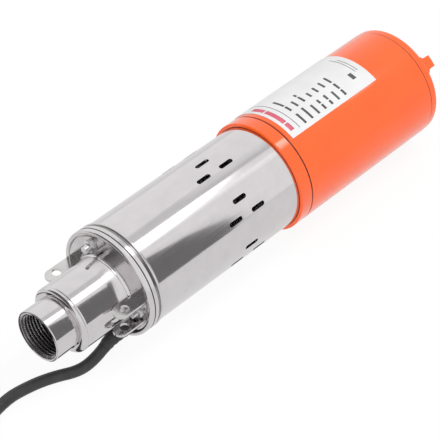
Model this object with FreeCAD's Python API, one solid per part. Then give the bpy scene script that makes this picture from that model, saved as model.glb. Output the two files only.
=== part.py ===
import FreeCAD, Part
import math
import os

from FreeCAD import Vector

# Submersible screw pump for a 3 inch well, lying on its motor casing with its lead on the floor.
# Millimetres and degrees. The pump axis runs along X, with the outlet at -X and the motor at +X.
# Stations are counted along the axis from the mouth of the outlet.
# Clock angles turn about +X from straight up, so 90 degrees points to -Y.

os.makedirs("parts", exist_ok=True)

# Running and sliding clearances, each on the radius
fit_gap = 0.02
slide_gap = 0.1
running_gap = 0.3
stud_hole_gap = 0.15

# Outlet nipple and neck
nipple_diameter = 36.8
nipple_length = 18.0
nipple_edge = 0.7
thread_bore_diameter = 30.3
thread_length = 16.0
thread_lead_in = 1.5
relief_depth = 0.8
root_groove_width = 1.5
root_groove_depth = 0.8
shoulder_round = 4.6
shoulder_width = 5.0
neck_groove_width = 1.3
neck_groove_depth = 0.8
neck_washer_gap = 1.8
neck_wall = 1.6
neck_length = 46.0
neck_foot_proud = 1.4
neck_foot_height = 6.5
neck_foot_clearance = 0.3
neck_offset = (-1.2, -0.9)

# Head cap, a shallow dish with a raised rim
head_step = 0.8
rim_height = 2.3
rim_width = 3.0
rim_round = 1.4
dish_corner = 0.4
cap_floor = 1.7
cap_gasket_thickness = 0.8
gasket_inset = 1.2

# Delivery plate under the cap
plate_flange = 7.0
plate_groove_width = 2.2
plate_groove_depth = 1.0
plate_lip = 1.9
plate_lip_round = 0.7
plate_spigot = 6.0
stator_socket_depth = 8.0
seal_ring_section = 2.4
seal_ring_squeeze = 0.2
spigot_groove_inset = 1.8

# Steel barrel with its inlet slots
barrel_diameter = 76.0
barrel_wall = 1.2
barrel_length = 135.5
barrel_socket_depth = 6.0
slot_width = 3.3
slot_length = 11.7
slot_row_pitch = 10.4
slot_first_row = 66.95
slot_columns = 6
slot_column_pitch = 54.3
slot_first_clock = -47.6
slot_stagger = -17.3

# Screw pump: one screw with a round section in a rubber lining with a twisted slot
screw_radius = 8.5
screw_offset = 2.5
screw_pitch = 22.0
stator_length = 58.0
stator_stud_gap = 4.0
stator_tube_wall = 2.0
stator_gasket_thickness = 0.5
stator_gasket_width = 7.5
screw_inset = 2.0
screw_overhang = 1.0
screw_head_radius = 6.8
screw_head_length = 11.5
rod_grip = 6.0
sections_per_turn = 12

# Stator seat, a plate across the barrel that centres the lower end of the stator
seat_thickness = 8.0
seat_socket = 4.0
seat_ledge = 8.5

# Flexible rod between the screw and the motor
rod_radius = 3.0
sleeve_wall = 1.2
sleeve_end_gap = 1.5

# Coupling hub on the motor shaft
hub_radius = 9.0
hub_length = 14.0
hub_screw_radius = 2.0
hub_screw_depth = 4.0

# Shaft seal
seal_shelf = 0.5
bellows_radius = 10.5
bellows_depth = 2.0
bellows_length = 6.5
bellows_folds = 3
seal_ring_length = 5.4
seal_neck_radius = 12.0
seal_nose = 1.2
seal_nose_step = 1.5
seal_seat_length = 5.0
seal_pocket_radius = 16.0
seal_seat_bore_gap = 1.5

# Motor front shield, which stands part of its length inside the barrel
shield_in_barrel = 22.5
shield_wall = 5.0
shield_seal_groove = 4.0
stud_engagement = 12.0

# Ball bearings: bore radius, outer radius, width, ball radius, number of balls
front_bearing = (6.0, 14.0, 8.0, 2.4, 8)
rear_bearing = (5.0, 13.0, 8.0, 2.3, 7)
groove_gap = 0.05
race_gap = 2.2
cage_thickness = 0.8

# Painted motor casing
ring_socket_wall = 2.68
joint_gap = 0.7
casing_wall = 2.5
front_ring_length = 9.8
ring_spigot = 7.7
casing_length = 125.4
casing_edge = 0.4
end_flange = 6.8
end_flange_inset = 0.3
end_face_thickness = 4.0
end_edge_round = 2.6
end_spigot = 8.0
end_spigot_wall = 3.6
end_hole_radius = 2.0
end_hole_circle = 22.0
end_hole_count = 4

# Three stub feet on the end cap
foot_count = 3
foot_first_clock = 43.0
foot_width = 8.6
foot_length = 6.5
foot_depth = 4.6
foot_root_round = 2.0
foot_inset = 0.6

# Motor inside
magnet_count = 4
magnet_arc = 72.0
magnet_thickness = 8.3
magnet_glue = 0.05
magnet_start = 16.7
air_gap = 0.9
core_inset = 4.0
core_slots = 12
core_slot_width = 3.6
core_slot_depth = 10.0
winding_overhang = 9.0
winding_inset = 2.8
winding_hub_wall = 3.0
shaft_core_radius = 7.5
commutator_radius = 14.0
commutator_length = 15.0
commutator_gap = 2.0
commutator_cut_width = 0.6
commutator_cut_depth = 1.0
brush_count = 4
brush_size = (8.0, 5.0, 8.0)
brush_gap = 0.15
brush_box_wall = 1.0
brush_box_height = 15.0
brush_box_lift = 2.4
spneck_radius = 2.0
spring_wall = 0.6
brush_plate = 2.5
brush_plate_gap = 1.4
rear_shield_thickness = 11.0
shaft_end_gap = 0.8
rear_shield_gap = 1.5
diaphragm_wall = 1.2
diaphragm_rim = 3.7
diaphragm_rim_width = 4.0
diaphragm_bulge = 0.9

# Label plate round the casing
label_start = 4.2
label_length = 84.5
label_clock = (-80.0, 27.0)
label_thickness = 0.25

# Tie studs with washers and nuts
stud_radius = 2.5
stud_wall_gap = 4.3
stud_clocks = (-22.0, 92.0, 216.0)
stud_tip = 10.6
washer_radius = 4.6
washer_thickness = 0.8
nut_flats = 8.0
nut_height = 4.0

# Hanging brackets of bent sheet
bracket_sheet = 1.8
lug_width = 10.2
lug_hole_radius = 3.2
clevis_height = 24.2
clevis_hole_height = 15.7
clevis_half_gap = 7.3
clevis_neck_gap = 0.45
strap_eye_shift = 0.2
strap_shift = 0.3
strap_width = 9.4
strap_lug_clock = -87.5
strap_lug_height = 26.8
strap_hole_height = 18.2
strap_lug_shift = 0.6

# Cable gland and the lead inside the barrel
cable_diameter = 7.8
gland_clock = 150.0
lead_wall_gap = 2.7
gland_radius = 5.4
gland_height = 5.0
gland_nose = 4.9
gland_sleeve_wall = 0.9
gland_sleeve = 6.0
lead_hole_gap = 0.2
grommet_flange = 2.4
grommet_height = 5.0
grommet_sleeve = 4.0
lead_tail = 8.5

# Free lead: corner points of its route on the floor, then a coil put away for storage
cable_route = [
    (-110.0, -15.1, 14.55),
    (-123.5, -15.1, 14.55),
    (-139.5, -15.6, 5.6),
    (-155.0, -15.7, 3.9),
    (-170.5, -7.1, 3.9),
    (-186.0, -1.9, 3.9),
    (-207.0, 1.1, 3.9),
    (-241.9, -8.9, 3.9),
]
coil_centre = (-255.8, 40.0)
coil_outer_turn = 50.8
coil_turns_across = 3
coil_layers = 2
coil_edge_round = 3.6
tail_route = [
    (-243.8, 89.8, 11.7),
    (-230.0, 87.4, 10.9),
    (-216.0, 86.7, 6.6),
    (-201.7, 88.6, 3.9),
    (-186.9, 86.6, 3.9),
]
tie_width = 9.0
tie_thickness = 0.8
tie_clock = 190.0
core_radius = 1.5
core_spacing = 1.75
core_bare = 7.0
core_wire_radius = 0.8
core_routes_length = 24.0
core_spread = 4.0

# Radii that follow from the sizes above
barrel_radius = barrel_diameter / 2
barrel_bore = barrel_radius - barrel_wall
inside_radius = barrel_bore - slide_gap
head_radius = barrel_radius + head_step
dish_radius = head_radius - rim_width
stud_circle = barrel_bore - stud_wall_gap - stud_radius
gland_circle = barrel_bore - lead_wall_gap - cable_diameter / 2
nipple_radius = nipple_diameter / 2
thread_bore_radius = thread_bore_diameter / 2
neck_radius = stud_circle - washer_radius - neck_washer_gap
neck_bore = neck_radius - neck_wall
clevis_inner_reach = neck_radius + clevis_neck_gap
strap_inner_radius = stud_circle - strap_width / 2 + strap_shift
strap_lug_reach = strap_inner_radius - strap_lug_shift
stator_tube_radius = stud_circle - stud_radius - stator_stud_gap
plate_bore_radius = stator_tube_radius - stator_gasket_width
seat_bore_radius = stator_tube_radius - seat_ledge
casing_radius = barrel_radius + fit_gap + ring_socket_wall
casing_bore = casing_radius - casing_wall
spigot_radius = casing_bore - slide_gap
end_cap_radius = casing_radius - end_flange_inset
cable_radius = cable_diameter / 2
stator_bore = stator_tube_radius - stator_tube_wall
stator_socket_radius = stator_tube_radius + slide_gap
axis_height = casing_radius

# Stations along the axis that follow from the sizes above
shoulder_at = nipple_length
floor_at = shoulder_at + neck_length
rim_at = floor_at - rim_height
cap_back_at = floor_at + cap_floor
plate_at = cap_back_at + cap_gasket_thickness
barrel_at = plate_at + plate_flange
plate_end = barrel_at + plate_spigot
stator_socket_at = plate_end - stator_socket_depth
stator_at = stator_socket_at + stator_gasket_thickness
stator_end = stator_at + stator_length
seat_at = stator_end - seat_socket
seat_end = seat_at + seat_thickness
screw_at = stator_at + screw_inset
screw_end = stator_end + screw_overhang
screw_head_end = screw_end + screw_head_length
barrel_end = barrel_at + barrel_length
shield_at = barrel_end - shield_in_barrel
hub_end = shield_at
hub_at = hub_end - hub_length
rod_span = hub_at - screw_head_end
shaft_at = hub_at + rod_grip
seal_ring_at = shield_at + bellows_length
seal_seat_at = seal_ring_at + seal_ring_length
seal_seat_end = seal_seat_at + seal_seat_length
front_bearing_at = seal_seat_end + shield_wall
front_bearing_end = front_bearing_at + front_bearing[2]
front_ring_at = barrel_end - barrel_socket_depth
casing_at = front_ring_at + front_ring_length
casing_front = casing_at + joint_gap
casing_end = casing_at + casing_length
end_cap_end = casing_end + end_flange
pump_length = end_cap_end + foot_length
rear_shield_end = casing_end - end_spigot - diaphragm_rim
rear_shield_at = rear_shield_end - rear_shield_thickness
brush_plate_at = rear_shield_at - brush_plate_gap - brush_plate
commutator_end = brush_plate_at - slide_gap
commutator_at = commutator_end - commutator_length
magnet_at = casing_at + magnet_start
core_at = magnet_at + core_inset
core_end = commutator_at - commutator_gap - winding_overhang
magnet_length = core_end + core_inset - magnet_at
core_radius_outer = casing_bore - magnet_glue - magnet_thickness - air_gap
rear_bearing_at = rear_shield_at + rear_shield_gap
rear_bearing_end = rear_bearing_at + rear_bearing[2]
slot_rows = 3


def place(shape):
    """Move a shape from the axis frame to the frame that stands on the floor."""
    moved = shape.copy()
    moved.translate(Vector(-pump_length / 2, 0, axis_height))
    return moved


def save(name, *shapes):
    """Write one node, as one solid or as a group of equal pieces."""
    placed = [place(shape) for shape in shapes]
    write(name, *placed)


def write(name, *shapes):
    solids = [solid for shape in shapes for solid in shape.Solids]
    for solid in solids:
        if not solid.isValid():
            print("not valid:", name)
    whole = solids[0] if len(solids) == 1 else Part.makeCompound(solids)
    whole.exportStep("parts/" + name + ".step")
    print(name, len(solids), "solids,", round(sum(s.Volume for s in solids) / 1000, 3), "cm3")


def corner(before, at, after, radius):
    """Tangent points and middle of the arc that rounds a corner in the plane of the section."""
    back = (before - at).normalize()
    ahead = (after - at).normalize()
    half = back.getAngle(ahead) / 2
    reach = radius / math.tan(half)
    middle = at + (back + ahead).normalize() * (radius / math.sin(half) - radius)
    return at + back * reach, middle, at + ahead * reach


def section(points):
    """Closed outline from (station, radius) corners, each with an optional rounding radius."""
    spots = [Vector(p[0], 0, p[1]) for p in points]
    rounds = [p[2] if len(p) > 2 else 0 for p in points]
    stops = []
    for i, spot in enumerate(spots):
        if rounds[i]:
            stops.append(corner(spots[i - 1], spot, spots[(i + 1) % len(spots)], rounds[i]))
        else:
            stops.append((spot, None, spot))
    edges = []
    for i, stop in enumerate(stops):
        if stop[1]:
            edges.append(Part.Arc(*stop).toShape())
        ahead = stops[(i + 1) % len(stops)]
        if (ahead[0] - stop[2]).Length > 1e-6:
            edges.append(Part.LineSegment(stop[2], ahead[0]).toShape())
    return Part.Face(Part.Wire(edges))


def turned(points):
    """A solid of revolution about the pump axis."""
    return section(points).revolve(Vector(0, 0, 0), Vector(1, 0, 0), 360)


def sector(start, end, inner, outer, clock_from, clock_to):
    """Part of a ring between two clock angles."""
    face = section([(start, inner), (end, inner), (end, outer), (start, outer)])
    piece = face.revolve(Vector(0, 0, 0), Vector(1, 0, 0), clock_to - clock_from)
    return clocked(piece, clock_from)


def ring(start, end, inner, outer):
    return turned([(start, inner), (end, inner), (end, outer), (start, outer)])


def rod(start, end, radius, circle=0.0, clock=0.0):
    """A round bar parallel to the axis, at a distance from it."""
    bar = Part.makeCylinder(radius, end - start, Vector(start, 0, circle), Vector(1, 0, 0))
    return clocked(bar, clock)


def clocked(shape, clock):
    """Turn a shape that was made straight above the axis to its clock angle."""
    turned_shape = shape.copy()
    turned_shape.rotate(Vector(0, 0, 0), Vector(1, 0, 0), clock)
    return turned_shape


def block(start, end, low, high, half_width):
    """A box above the axis, from one height to another."""
    return Part.makeBox(end - start, 2 * half_width, high - low, Vector(start, -half_width, low))


def stud_holes(start, end):
    return [rod(start, end, stud_radius + stud_hole_gap, stud_circle, clock) for clock in stud_clocks]


def lead_hole(start, end, gap):
    return rod(start, end, cable_radius + gap, gland_circle, gland_clock)


def make_outlet_neck():
    """Threaded nipple, shoulder, wide neck and its foot; the foot has gaps for bracket and gland."""
    ring_end = shoulder_at + shoulder_width
    groove_end = ring_end + neck_groove_width
    groove_radius = neck_radius - neck_groove_depth
    root_radius = nipple_radius - root_groove_depth
    foot_radius = neck_radius + neck_foot_proud
    foot_at = floor_at - neck_foot_height
    relief_radius = thread_bore_radius + relief_depth
    inner_shoulder = shoulder_at + neck_wall
    outer_round = min(shoulder_round, 0.8 * (neck_radius - root_radius))
    inner_round = min(shoulder_round - neck_wall, 0.6 * (neck_bore - relief_radius - relief_depth))
    neck = turned([
        (0, thread_bore_radius + thread_lead_in),
        (0, nipple_radius, nipple_edge),
        (shoulder_at - root_groove_width, nipple_radius),
        (shoulder_at - root_groove_width, root_radius),
        (shoulder_at, root_radius),
        (shoulder_at, neck_radius, outer_round),
        (ring_end, neck_radius, neck_groove_depth / 2),
        (ring_end, groove_radius),
        (groove_end, groove_radius),
        (groove_end, neck_radius, neck_groove_depth / 2),
        (foot_at, neck_radius),
        (foot_at + neck_foot_proud, foot_radius, neck_foot_proud / 3),
        (floor_at, foot_radius),
        (floor_at, neck_bore),
        (inner_shoulder + relief_depth, neck_bore, inner_round),
        (inner_shoulder, relief_radius + relief_depth),
        (inner_shoulder, relief_radius),
        (thread_length, relief_radius),
        (thread_length, thread_bore_radius),
        (thread_lead_in, thread_bore_radius),
    ])
    half = clevis_half_gap + bracket_sheet + neck_foot_clearance
    reach = clevis_inner_reach - neck_foot_clearance / 2
    bracket_gap = clocked(block(foot_at - 1, floor_at + 1, reach, head_radius, half), stud_clocks[1])
    gland_gap = rod(foot_at - 1, floor_at + 1, gland_radius + neck_foot_clearance, gland_circle, gland_clock)
    return beside_axis(neck).cut([bracket_gap, gland_gap])


def beside_axis(shape):
    """The neck stands a little beside the axis of the pump."""
    moved = shape.copy()
    moved.translate(Vector(0, *neck_offset))
    return moved


def neck_opening(start, end):
    return beside_axis(rod(start, end, neck_bore))


def make_head_cap():
    """Dish with a raised, rounded rim; studs and the lead pass through its floor."""
    dish = turned([
        (floor_at, 0),
        (floor_at, dish_radius, dish_corner),
        (rim_at, dish_radius, rim_round),
        (rim_at, head_radius, rim_round),
        (cap_back_at, head_radius),
        (cap_back_at, 0),
    ])
    end = cap_back_at + 1
    sleeve_hole = rod(rim_at, end, gland_sleeve_radius + slide_gap, gland_circle, gland_clock)
    return dish.cut(stud_holes(rim_at, end) + [sleeve_hole, neck_opening(rim_at, end)])


def make_cap_gasket():
    flat = rod(cap_back_at, plate_at, head_radius - gasket_inset)
    end = plate_at + 1
    sleeve_hole = rod(floor_at, end, gland_sleeve_radius + slide_gap, gland_circle, gland_clock)
    return flat.cut(stud_holes(floor_at, end) + [sleeve_hole, neck_opening(floor_at, end)])


def make_delivery_plate():
    """Plate that the stator stands in and the barrel fits over, with a seal ring groove."""
    groove_end = barrel_at - plate_lip
    groove_start = groove_end - plate_groove_width
    seal_at = barrel_at + spigot_groove_inset
    plate = turned([
        (plate_at, plate_bore_radius),
        (plate_at, head_radius),
        (groove_start, head_radius, plate_lip_round / 2),
        (groove_start, head_radius - plate_groove_depth),
        (groove_end, head_radius - plate_groove_depth),
        (groove_end, head_radius, plate_lip_round),
        (barrel_at, head_radius, plate_lip_round),
        (barrel_at, inside_radius),
        (seal_at, inside_radius),
        (seal_at, seal_groove_radius),
        (seal_at + seal_ring_section, seal_groove_radius),
        (seal_at + seal_ring_section, inside_radius),
        (plate_end, inside_radius),
        (plate_end, stator_socket_radius),
        (stator_socket_at, stator_socket_radius),
        (stator_socket_at, plate_bore_radius),
    ])
    sleeve_end = floor_at + gland_sleeve + slide_gap
    sleeve_hole = rod(floor_at, sleeve_end, gland_sleeve_radius + slide_gap, gland_circle, gland_clock)
    holes = stud_holes(floor_at, plate_end + 1) + [sleeve_hole, lead_hole(floor_at, plate_end + 1, lead_hole_gap)]
    return plate.cut(holes)


def make_seal_ring(at, bottom):
    """A rubber ring that lies in a groove, a little flattened."""
    radius = seal_ring_section / 2
    centre = at + radius
    face = Part.Face(Part.Wire(Part.makeCircle(radius, Vector(centre, 0, bottom + radius), Vector(0, 1, 0))))
    return face.revolve(Vector(0, 0, 0), Vector(1, 0, 0), 360)


def make_pump_barrel():
    """Polished tube with three staggered rows of inlet slots."""
    tube = ring(barrel_at, barrel_end, barrel_bore, barrel_radius)
    slots = []
    for row in range(slot_rows):
        start = barrel_at + slot_first_row + row * slot_row_pitch
        stagger = slot_stagger if row % 2 else 0.0
        for column in range(slot_columns):
            clock = slot_first_clock + column * slot_column_pitch + stagger
            slots.append(clocked(make_slot(start), clock))
    return tube.cut(slots)


def make_slot(start):
    """Tool with rounded ends that cuts one slot above the axis."""
    half = slot_width / 2
    height = barrel_wall * 3
    low = barrel_bore - barrel_wall
    bar = block(start + half, start + slot_length - half, low, low + height, half)
    ends = [
        Part.makeCylinder(half, height, Vector(x, 0, low))
        for x in (start + half, start + slot_length - half)
    ]
    return bar.fuse(ends).removeSplitter()


def screw_circle(station):
    """Round section of the screw; its middle runs round the screw's own axis once a pitch."""
    turn = math.radians(360.0 * (station - screw_at) / screw_pitch)
    y = -screw_offset * math.sin(turn)
    z = screw_offset + screw_offset * math.cos(turn)
    return Part.Wire(Part.makeCircle(screw_radius, Vector(station, y, z), Vector(1, 0, 0)))


def slot_outline(station):
    """Long slot of the lining; it turns half as fast as the screw."""
    half_width = screw_radius + running_gap
    reach = 2 * screw_offset
    left = [Vector(station, -half_width, reach), Vector(station, -half_width, -reach)]
    right = [Vector(station, half_width, -reach), Vector(station, half_width, reach)]
    bottom = Vector(station, 0, -reach - half_width)
    top = Vector(station, 0, reach + half_width)
    wire = Part.Wire([
        Part.LineSegment(left[0], left[1]).toShape(),
        Part.Arc(left[1], bottom, right[0]).toShape(),
        Part.LineSegment(right[0], right[1]).toShape(),
        Part.Arc(right[1], top, left[0]).toShape(),
    ])
    wire.rotate(Vector(station, 0, 0), Vector(1, 0, 0), 180.0 * (station - screw_at) / screw_pitch)
    return wire


def stations_between(start, end, count):
    return [start + (end - start) * i / count for i in range(count + 1)]


def make_screw_rotor():
    """Polished steel screw with a bored head for the flexible rod."""
    count = round(sections_per_turn * (screw_end - screw_at) / screw_pitch)
    wires = [screw_circle(x) for x in stations_between(screw_at, screw_end, count)]
    screw = Part.makeLoft(wires, True, False)
    head = rod(screw_end, screw_head_end, screw_head_radius, screw_offset)
    joined = screw.fuse(head)
    bore = rod(screw_head_end - rod_grip - slide_gap, screw_head_end + 1, rod_radius + fit_gap, screw_offset)
    return joined.cut(bore)


def make_stator_rubber():
    """Rubber lining, bonded in its tube, with the twisted slot through it."""
    body = rod(stator_at, stator_end, stator_bore)
    start = stator_at - 1
    end = stator_end + 1
    count = round(sections_per_turn * (end - start) / screw_pitch)
    wires = [slot_outline(x) for x in stations_between(start, end, count)]
    return body.cut(Part.makeLoft(wires, True, False))


def make_stator_seat():
    """Plate across the barrel; the screw and the rod pass through its middle."""
    plate = turned([
        (seat_at, stator_socket_radius),
        (seat_at, inside_radius),
        (seat_end, inside_radius),
        (seat_end, seat_bore_radius),
        (stator_end, seat_bore_radius),
        (stator_end, stator_socket_radius),
    ])
    return plate.cut(stud_holes(seat_at - 1, seat_end + 1) + [lead_hole(seat_at - 1, seat_end + 1, lead_hole_gap)])


def rod_path():
    """The rod leaves the screw off the axis and bends over to the motor shaft."""
    half = rod_span / 2
    radius = (rod_span ** 2 + screw_offset ** 2) / (4 * screw_offset)
    middle = Vector(screw_head_end + half, 0, screw_offset / 2)
    angle = math.asin(half / radius)
    sag = radius * (1 - math.cos(angle / 2))
    step = radius * math.sin(angle / 2)
    first = Part.Arc(
        Vector(screw_head_end, 0, screw_offset),
        Vector(screw_head_end + step, 0, screw_offset - sag),
        middle,
    )
    second = Part.Arc(middle, Vector(hub_at - step, 0, sag), Vector(hub_at, 0, 0))
    return first.toShape(), second.toShape()


def swept(edges, start, heading, radius):
    """A round bar along a path of tangent lines and arcs."""
    profile = Part.Wire(Part.makeCircle(radius, start, heading))
    return Part.Wire(edges).makePipeShell([profile], True, False)


def make_connecting_rod():
    """Flexible steel rod; its ends sit in the screw and in the hub."""
    first, second = rod_path()
    start = Vector(screw_head_end - rod_grip, 0, screw_offset)
    knee = Vector(screw_head_end, 0, screw_offset)
    end = Vector(hub_at + rod_grip - slide_gap, 0, 0)
    edges = [
        Part.LineSegment(start, knee).toShape(),
        first,
        second,
        Part.LineSegment(Vector(hub_at, 0, 0), end).toShape(),
    ]
    return swept(edges, start, Vector(1, 0, 0), rod_radius)


def make_rod_sleeve():
    """Rubber sleeve on the free length of the rod."""
    first, second = rod_path()
    start = Vector(screw_head_end, 0, screw_offset)
    outside = swept([first, second], start, Vector(1, 0, 0), rod_radius + sleeve_wall)
    inside = swept([first, second], start, Vector(1, 0, 0), rod_radius)
    wide = 4 * hub_radius
    keep = Part.makeBox(
        rod_span - 2 * sleeve_end_gap, wide, wide,
        Vector(screw_head_end + sleeve_end_gap, -wide / 2, -wide / 2),
    )
    return outside.cut(inside).common(keep)


def make_shaft_hub():
    """Hub that joins the rod to the motor shaft, with a grub screw hole."""
    hub = turned([
        (hub_at, rod_radius + fit_gap),
        (hub_at, hub_radius, 1.0),
        (hub_end, hub_radius, 1.0),
        (hub_end, front_bearing[0] + fit_gap),
        (shaft_at, front_bearing[0] + fit_gap),
        (shaft_at, rod_radius + fit_gap),
    ])
    return hub.cut(make_hub_screw_blank(hub_screw_radius, 1, hub_radius + 1))


def make_hub_screw_blank(radius, bottom, top):
    middle = (shaft_at + hub_end) / 2
    return Part.makeCylinder(radius, top - bottom, Vector(middle, 0, bottom))


def make_hub_screw():
    """Grub screw with a hexagon socket."""
    bottom = front_bearing[0] + fit_gap
    top = bottom + hub_screw_depth / 2 + fit_gap
    screw = make_hub_screw_blank(hub_screw_radius - fit_gap, bottom, top)
    socket = hexagon(hub_screw_radius, hub_screw_depth / 4)
    socket.rotate(Vector(0, 0, 0), Vector(0, 1, 0), -90)
    socket.translate(Vector((shaft_at + hub_end) / 2, 0, top - hub_screw_depth / 4))
    return screw.cut(socket)


def hexagon(flats, height):
    """Hexagonal prism along X, standing on the plane through the origin."""
    corner_radius = flats / math.sqrt(3)
    spots = []
    for i in range(7):
        angle = math.radians(60 * i)
        spots.append(Vector(0, corner_radius * math.sin(angle), corner_radius * math.cos(angle)))
    return Part.Face(Part.makePolygon(spots)).extrude(Vector(height, 0, 0))


def make_motor_shaft():
    rear_end = rear_bearing_end + shaft_end_gap
    return turned([
        (shaft_at, 0),
        (shaft_at, front_bearing[0], 0.5),
        (front_bearing_end, front_bearing[0]),
        (front_bearing_end, shaft_core_radius),
        (rear_bearing_at, shaft_core_radius),
        (rear_bearing_at, rear_bearing[0]),
        (rear_end, rear_bearing[0], 0.5),
        (rear_end, 0),
    ])


def make_seal_bellows():
    """Folded rubber bellows that presses the rotating seal ring forward."""
    bore = front_bearing[0] + fit_gap
    fold = bellows_length / bellows_folds
    outline = [(seal_ring_at, bore), (shield_at, bore)]
    for i in range(bellows_folds):
        start = shield_at + i * fold
        outline.append((start, bellows_radius - bellows_depth))
        outline.append((start + fold / 2, bellows_radius))
    outline.append((seal_ring_at, bellows_radius - bellows_depth))
    return turned(outline)


def make_seal_ring_rotating():
    nose = seal_seat_at - seal_nose
    bore = front_bearing[0] + fit_gap
    return turned([
        (seal_ring_at, bore),
        (seal_ring_at, seal_neck_radius, 0.4),
        (nose, seal_neck_radius, 0.4),
        (nose, seal_neck_radius - seal_nose_step),
        (seal_seat_at, seal_neck_radius - seal_nose_step),
        (seal_seat_at, bore),
    ])


def make_seal_seat():
    """Ceramic ring that stands still in the shield."""
    bore = front_bearing[0] + seal_seat_bore_gap
    return turned([
        (seal_seat_at, bore),
        (seal_seat_at, seal_pocket_radius - slide_gap, 0.4),
        (seal_seat_end, seal_pocket_radius - slide_gap),
        (seal_seat_end, bore),
    ])


def make_front_shield():
    """Motor front shield: seal chamber in front, bearing seat behind, threads for the studs."""
    seal_groove_at = shield_at + shield_seal_groove
    shield = turned([
        (shield_at, seal_pocket_radius),
        (shield_at, inside_radius, 0.8),
        (seal_groove_at, inside_radius),
        (seal_groove_at, seal_groove_radius),
        (seal_groove_at + seal_ring_section, seal_groove_radius),
        (seal_groove_at + seal_ring_section, inside_radius),
        (front_bearing_end, inside_radius),
        (front_bearing_end, front_bearing[1] + fit_gap),
        (front_bearing_at, front_bearing[1] + fit_gap),
        (front_bearing_at, front_bearing[0] + seal_seat_bore_gap),
        (seal_seat_end, front_bearing[0] + seal_seat_bore_gap),
        (seal_seat_end, seal_pocket_radius),
    ])
    threads = [
        rod(shield_at - 1, shield_at + stud_engagement, stud_radius + fit_gap, stud_circle, clock)
        for clock in stud_clocks
    ]
    grommet_hole = rod(
        shield_at - 1, shield_at + grommet_sleeve,
        cable_radius + grommet_flange / 2 + slide_gap, gland_circle, gland_clock,
    )
    return shield.cut(threads + [grommet_hole, lead_hole(shield_at, front_bearing_end + 1, lead_hole_gap)])


def make_bearing_outer(start, sizes):
    bore, outside, width, ball, count = sizes
    middle = (bore + outside) / 2
    blank = ring(start, start + width, middle + race_gap / 2, outside)
    return blank.cut(race_groove(start + width / 2, middle, ball))


def make_bearing_inner(start, sizes):
    bore, outside, width, ball, count = sizes
    middle = (bore + outside) / 2
    blank = ring(start, start + width, bore + fit_gap, middle - race_gap / 2)
    return blank.cut(race_groove(start + width / 2, middle, ball))


def race_groove(at, middle, ball):
    return Part.makeTorus(middle, ball + groove_gap, Vector(at, 0, 0), Vector(1, 0, 0))


def make_bearing_balls(start, sizes):
    """Balls joined by their cage, which rolls round at part of the shaft speed."""
    bore, outside, width, ball, count = sizes
    middle = (bore + outside) / 2
    at = start + width / 2
    half = race_gap / 2 - running_gap
    cage = ring(at - cage_thickness / 2, at + cage_thickness / 2, middle - half, middle + half)
    balls = []
    for i in range(count):
        sphere = Part.makeSphere(ball, Vector(at, 0, middle))
        balls.append(clocked(sphere, 360.0 * i / count))
    return cage.fuse(balls)


def make_front_ring():
    """Painted ring that holds the barrel and the front of the casing."""
    spigot_end = casing_at + ring_spigot
    return turned([
        (front_ring_at, barrel_radius + fit_gap),
        (front_ring_at, casing_radius, casing_edge),
        (casing_at - casing_edge, casing_radius),
        (casing_at, casing_radius - casing_edge),
        (casing_at, spigot_radius),
        (spigot_end, spigot_radius),
        (spigot_end, barrel_bore),
        (barrel_end, barrel_bore),
        (barrel_end, barrel_radius + fit_gap),
    ])


def make_motor_casing():
    """Painted casing tube with a chamfer at each end, which shows as a groove."""
    return turned([
        (casing_front, casing_bore),
        (casing_front, casing_radius - casing_edge),
        (casing_front + casing_edge, casing_radius),
        (casing_end - casing_edge, casing_radius),
        (casing_end, casing_radius - casing_edge),
        (casing_end, casing_bore),
    ])


def make_end_cap():
    """Painted end cap with water holes to the diaphragm and three stub feet."""
    spigot_at = casing_end - end_spigot
    face_at = end_cap_end - end_face_thickness
    cup = turned([
        (spigot_at, spigot_radius - end_spigot_wall),
        (spigot_at, spigot_radius),
        (casing_end, spigot_radius),
        (casing_end, end_cap_radius - casing_edge),
        (casing_end + casing_edge, end_cap_radius),
        (end_cap_end, end_cap_radius, end_edge_round),
        (end_cap_end, 0),
        (face_at, 0),
        (face_at, spigot_radius - end_spigot_wall),
    ])
    holes = [
        rod(face_at - 1, end_cap_end + 1, end_hole_radius, end_hole_circle, 360.0 * i / end_hole_count)
        for i in range(end_hole_count)
    ]
    feet = [clocked(make_foot(), foot_first_clock + 360.0 * i / foot_count) for i in range(foot_count)]
    return cup.cut(holes).fuse(feet).removeSplitter()


def make_foot():
    """Stub foot with concave roots, trimmed to the round of the cap."""
    root = end_cap_end - end_edge_round
    tip = end_cap_end + foot_length
    half = foot_width / 2
    low = end_cap_radius - foot_inset - foot_depth
    flare = half + foot_root_round
    bend = foot_root_round * (1 - math.cos(math.radians(45)))
    spots = [
        Vector(root, -flare, low),
        Vector(end_cap_end, -flare, low),
        Vector(end_cap_end + foot_root_round, -half, low),
        Vector(tip, -half, low),
        Vector(tip, half, low),
        Vector(end_cap_end + foot_root_round, half, low),
        Vector(end_cap_end, flare, low),
        Vector(root, flare, low),
    ]
    left_bend = Vector(end_cap_end + bend, -half - bend, low)
    right_bend = Vector(end_cap_end + bend, half + bend, low)
    edges = [
        Part.LineSegment(spots[0], spots[1]).toShape(),
        Part.Arc(spots[1], left_bend, spots[2]).toShape(),
        Part.LineSegment(spots[2], spots[3]).toShape(),
        Part.LineSegment(spots[3], spots[4]).toShape(),
        Part.LineSegment(spots[4], spots[5]).toShape(),
        Part.Arc(spots[5], right_bend, spots[6]).toShape(),
        Part.LineSegment(spots[6], spots[7]).toShape(),
        Part.LineSegment(spots[7], spots[0]).toShape(),
    ]
    slab = Part.Face(Part.Wire(edges)).extrude(Vector(0, 0, foot_depth + foot_inset + 1))
    return slab.common(rod(root - 1, tip + 1, end_cap_radius - foot_inset))


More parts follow.
